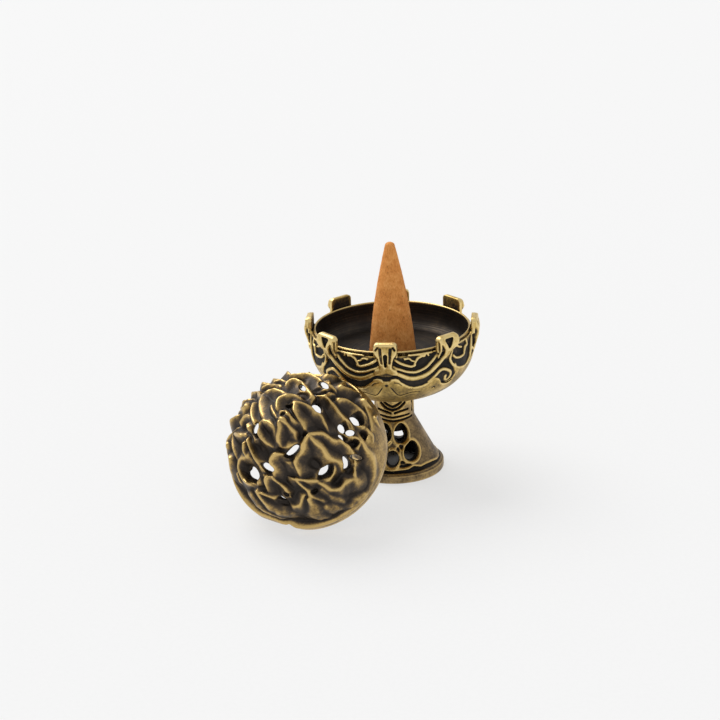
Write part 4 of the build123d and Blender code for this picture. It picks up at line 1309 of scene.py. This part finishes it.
def floor_paper(name):
    """Plain pale studio floor with a very faint tooth, lit from below except under the burner: the glow is
    painted light that lifts the floor's shadows, and where it is cut out under the burner it is a painted
    shadow inside the foot.
    """
    n = Nodes(name)
    tooth = n.noise(n.place, 900.0, 2.0, 0.5)
    away = n.add("VectorMath", operation="LENGTH")
    n.link(n.place, away.inputs[0])
    # Painted light: the floor glows everywhere but under the burner, where the missing glow is a painted
    # shadow
    glow_with_painted_shadow = n.spread(away.outputs["Value"], 0.0122, 0.0130, 0.0, 0.60)
    n.shade(Base_Color=n.ramp(tooth, FLOOR_RAMP), Roughness=0.85, Specular_IOR_Level=0.2,
            Emission_Color=(1.0, 1.0, 1.0, 1.0), Emission_Strength=glow_with_painted_shadow)
    return n.material


# ------------------------------------------------------------------ stage, light and camera

FLOOR_HALF = 6.0
SKY_STRENGTH = 0.66
LIGHT_STRENGTH = 1.9
LIGHT_SPREAD = math.radians(48)
LIGHT_FROM = Vector((-0.5, 0.42, 0.8))

# The camera, worked out from the photograph: lens and sensor in mm, and angles round, up and over
CAMERA_LENS = 100.0
CAMERA_SENSOR = 36.0
CAMERA_AZIMUTH = math.radians(5.0)
CAMERA_ELEVATION = math.radians(21.317)
CAMERA_ROLL = math.radians(1.575)
CAMERA_DISTANCE = 534.05 * MM
CAMERA_TARGET = Vector((0.0, 0.0, 20.0 * MM))
CAMERA_SHIFT = (-0.0471, 0.0499)


def into_scene(name, data):
    obj = bpy.data.objects.new(name, data)
    bpy.context.scene.collection.objects.link(obj)
    return obj


def make_floor():
    mesh = bpy.data.meshes.new("studio_floor")
    corners = [(x * FLOOR_HALF, y * FLOOR_HALF, 0) for x, y in ((-1, -1), (1, -1), (1, 1), (-1, 1))]
    mesh.from_pydata(corners, [], [(0, 1, 2, 3)])
    mesh.materials.append(floor_paper("floor_paper"))
    into_scene("studio_floor", mesh)


def add_lights():
    """An even white surround and one broad light from the left, behind and above."""
    world = bpy.data.worlds.new("studio")
    bpy.context.scene.world = world
    world.use_nodes = True
    background = world.node_tree.nodes["Background"]
    background.inputs["Color"].default_value = (1.0, 1.0, 1.0, 1.0)
    background.inputs["Strength"].default_value = SKY_STRENGTH
    sun = bpy.data.lights.new("window_light", "SUN")
    sun.energy = LIGHT_STRENGTH
    sun.angle = LIGHT_SPREAD
    into_scene("window_light", sun).rotation_euler = LIGHT_FROM.to_track_quat("Z", "Y").to_euler()


def add_camera():
    """Camera at the photograph's angle."""
    across = Vector((math.cos(CAMERA_AZIMUTH), math.sin(CAMERA_AZIMUTH), 0.0))
    back = Vector((math.sin(CAMERA_AZIMUTH), -math.cos(CAMERA_AZIMUTH), 0.0)) * math.cos(CAMERA_ELEVATION)
    back.z = math.sin(CAMERA_ELEVATION)
    up = back.cross(across)
    right = math.cos(CAMERA_ROLL) * across - math.sin(CAMERA_ROLL) * up
    up = math.sin(CAMERA_ROLL) * across + math.cos(CAMERA_ROLL) * up
    data = bpy.data.cameras.new("camera")
    data.lens = CAMERA_LENS
    data.sensor_width = CAMERA_SENSOR
    data.shift_x, data.shift_y = CAMERA_SHIFT
    data.clip_start = 0.01
    camera = into_scene("camera", data)
    turn = Matrix((right, up, back)).transposed().to_4x4()
    camera.matrix_world = Matrix.Translation(CAMERA_TARGET + back * CAMERA_DISTANCE) @ turn
    bpy.context.scene.camera = camera


# ------------------------------------------------------------------ the object

def put(piece, material, body, node):
    """Gives a piece its material, the body it rides on and the CAD node that it stands in for."""
    piece.data.materials.clear()
    piece.data.materials.append(material)
    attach(piece, body)
    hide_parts(node)


def main():
    bpy.context.scene.view_settings.view_transform = "Standard"
    make_floor()
    add_lights()
    add_camera()
    put(make_foot(), antique_brass("foot_patina", *FOOT_PATINA), "burner", "foot")
    put(make_bowl(), antique_brass("bowl_patina", *BOWL_PATINA), "burner", "bowl_shell")
    put(make_dish(), turned_brass("dish_turned_brass"), "burner", "dish_liner")
    # The screw and the washer get brass darkened with painted shade for the inside of the foot
    screw_painted_shade = brass_with_painted_shade("screw_brass_with_painted_shade")
    for node in ("bowl_screw", "screw_washer"):
        part = frame["nodes"][node]
        part.data.materials.clear()
        part.data.materials.append(screw_painted_shade)
    put(make_lid(), antique_brass("lid_patina", *LID_PATINA), "lid", "lid")
    put(make_incense(), incense_powder("incense_powder"), "incense", "incense_cone")


main()
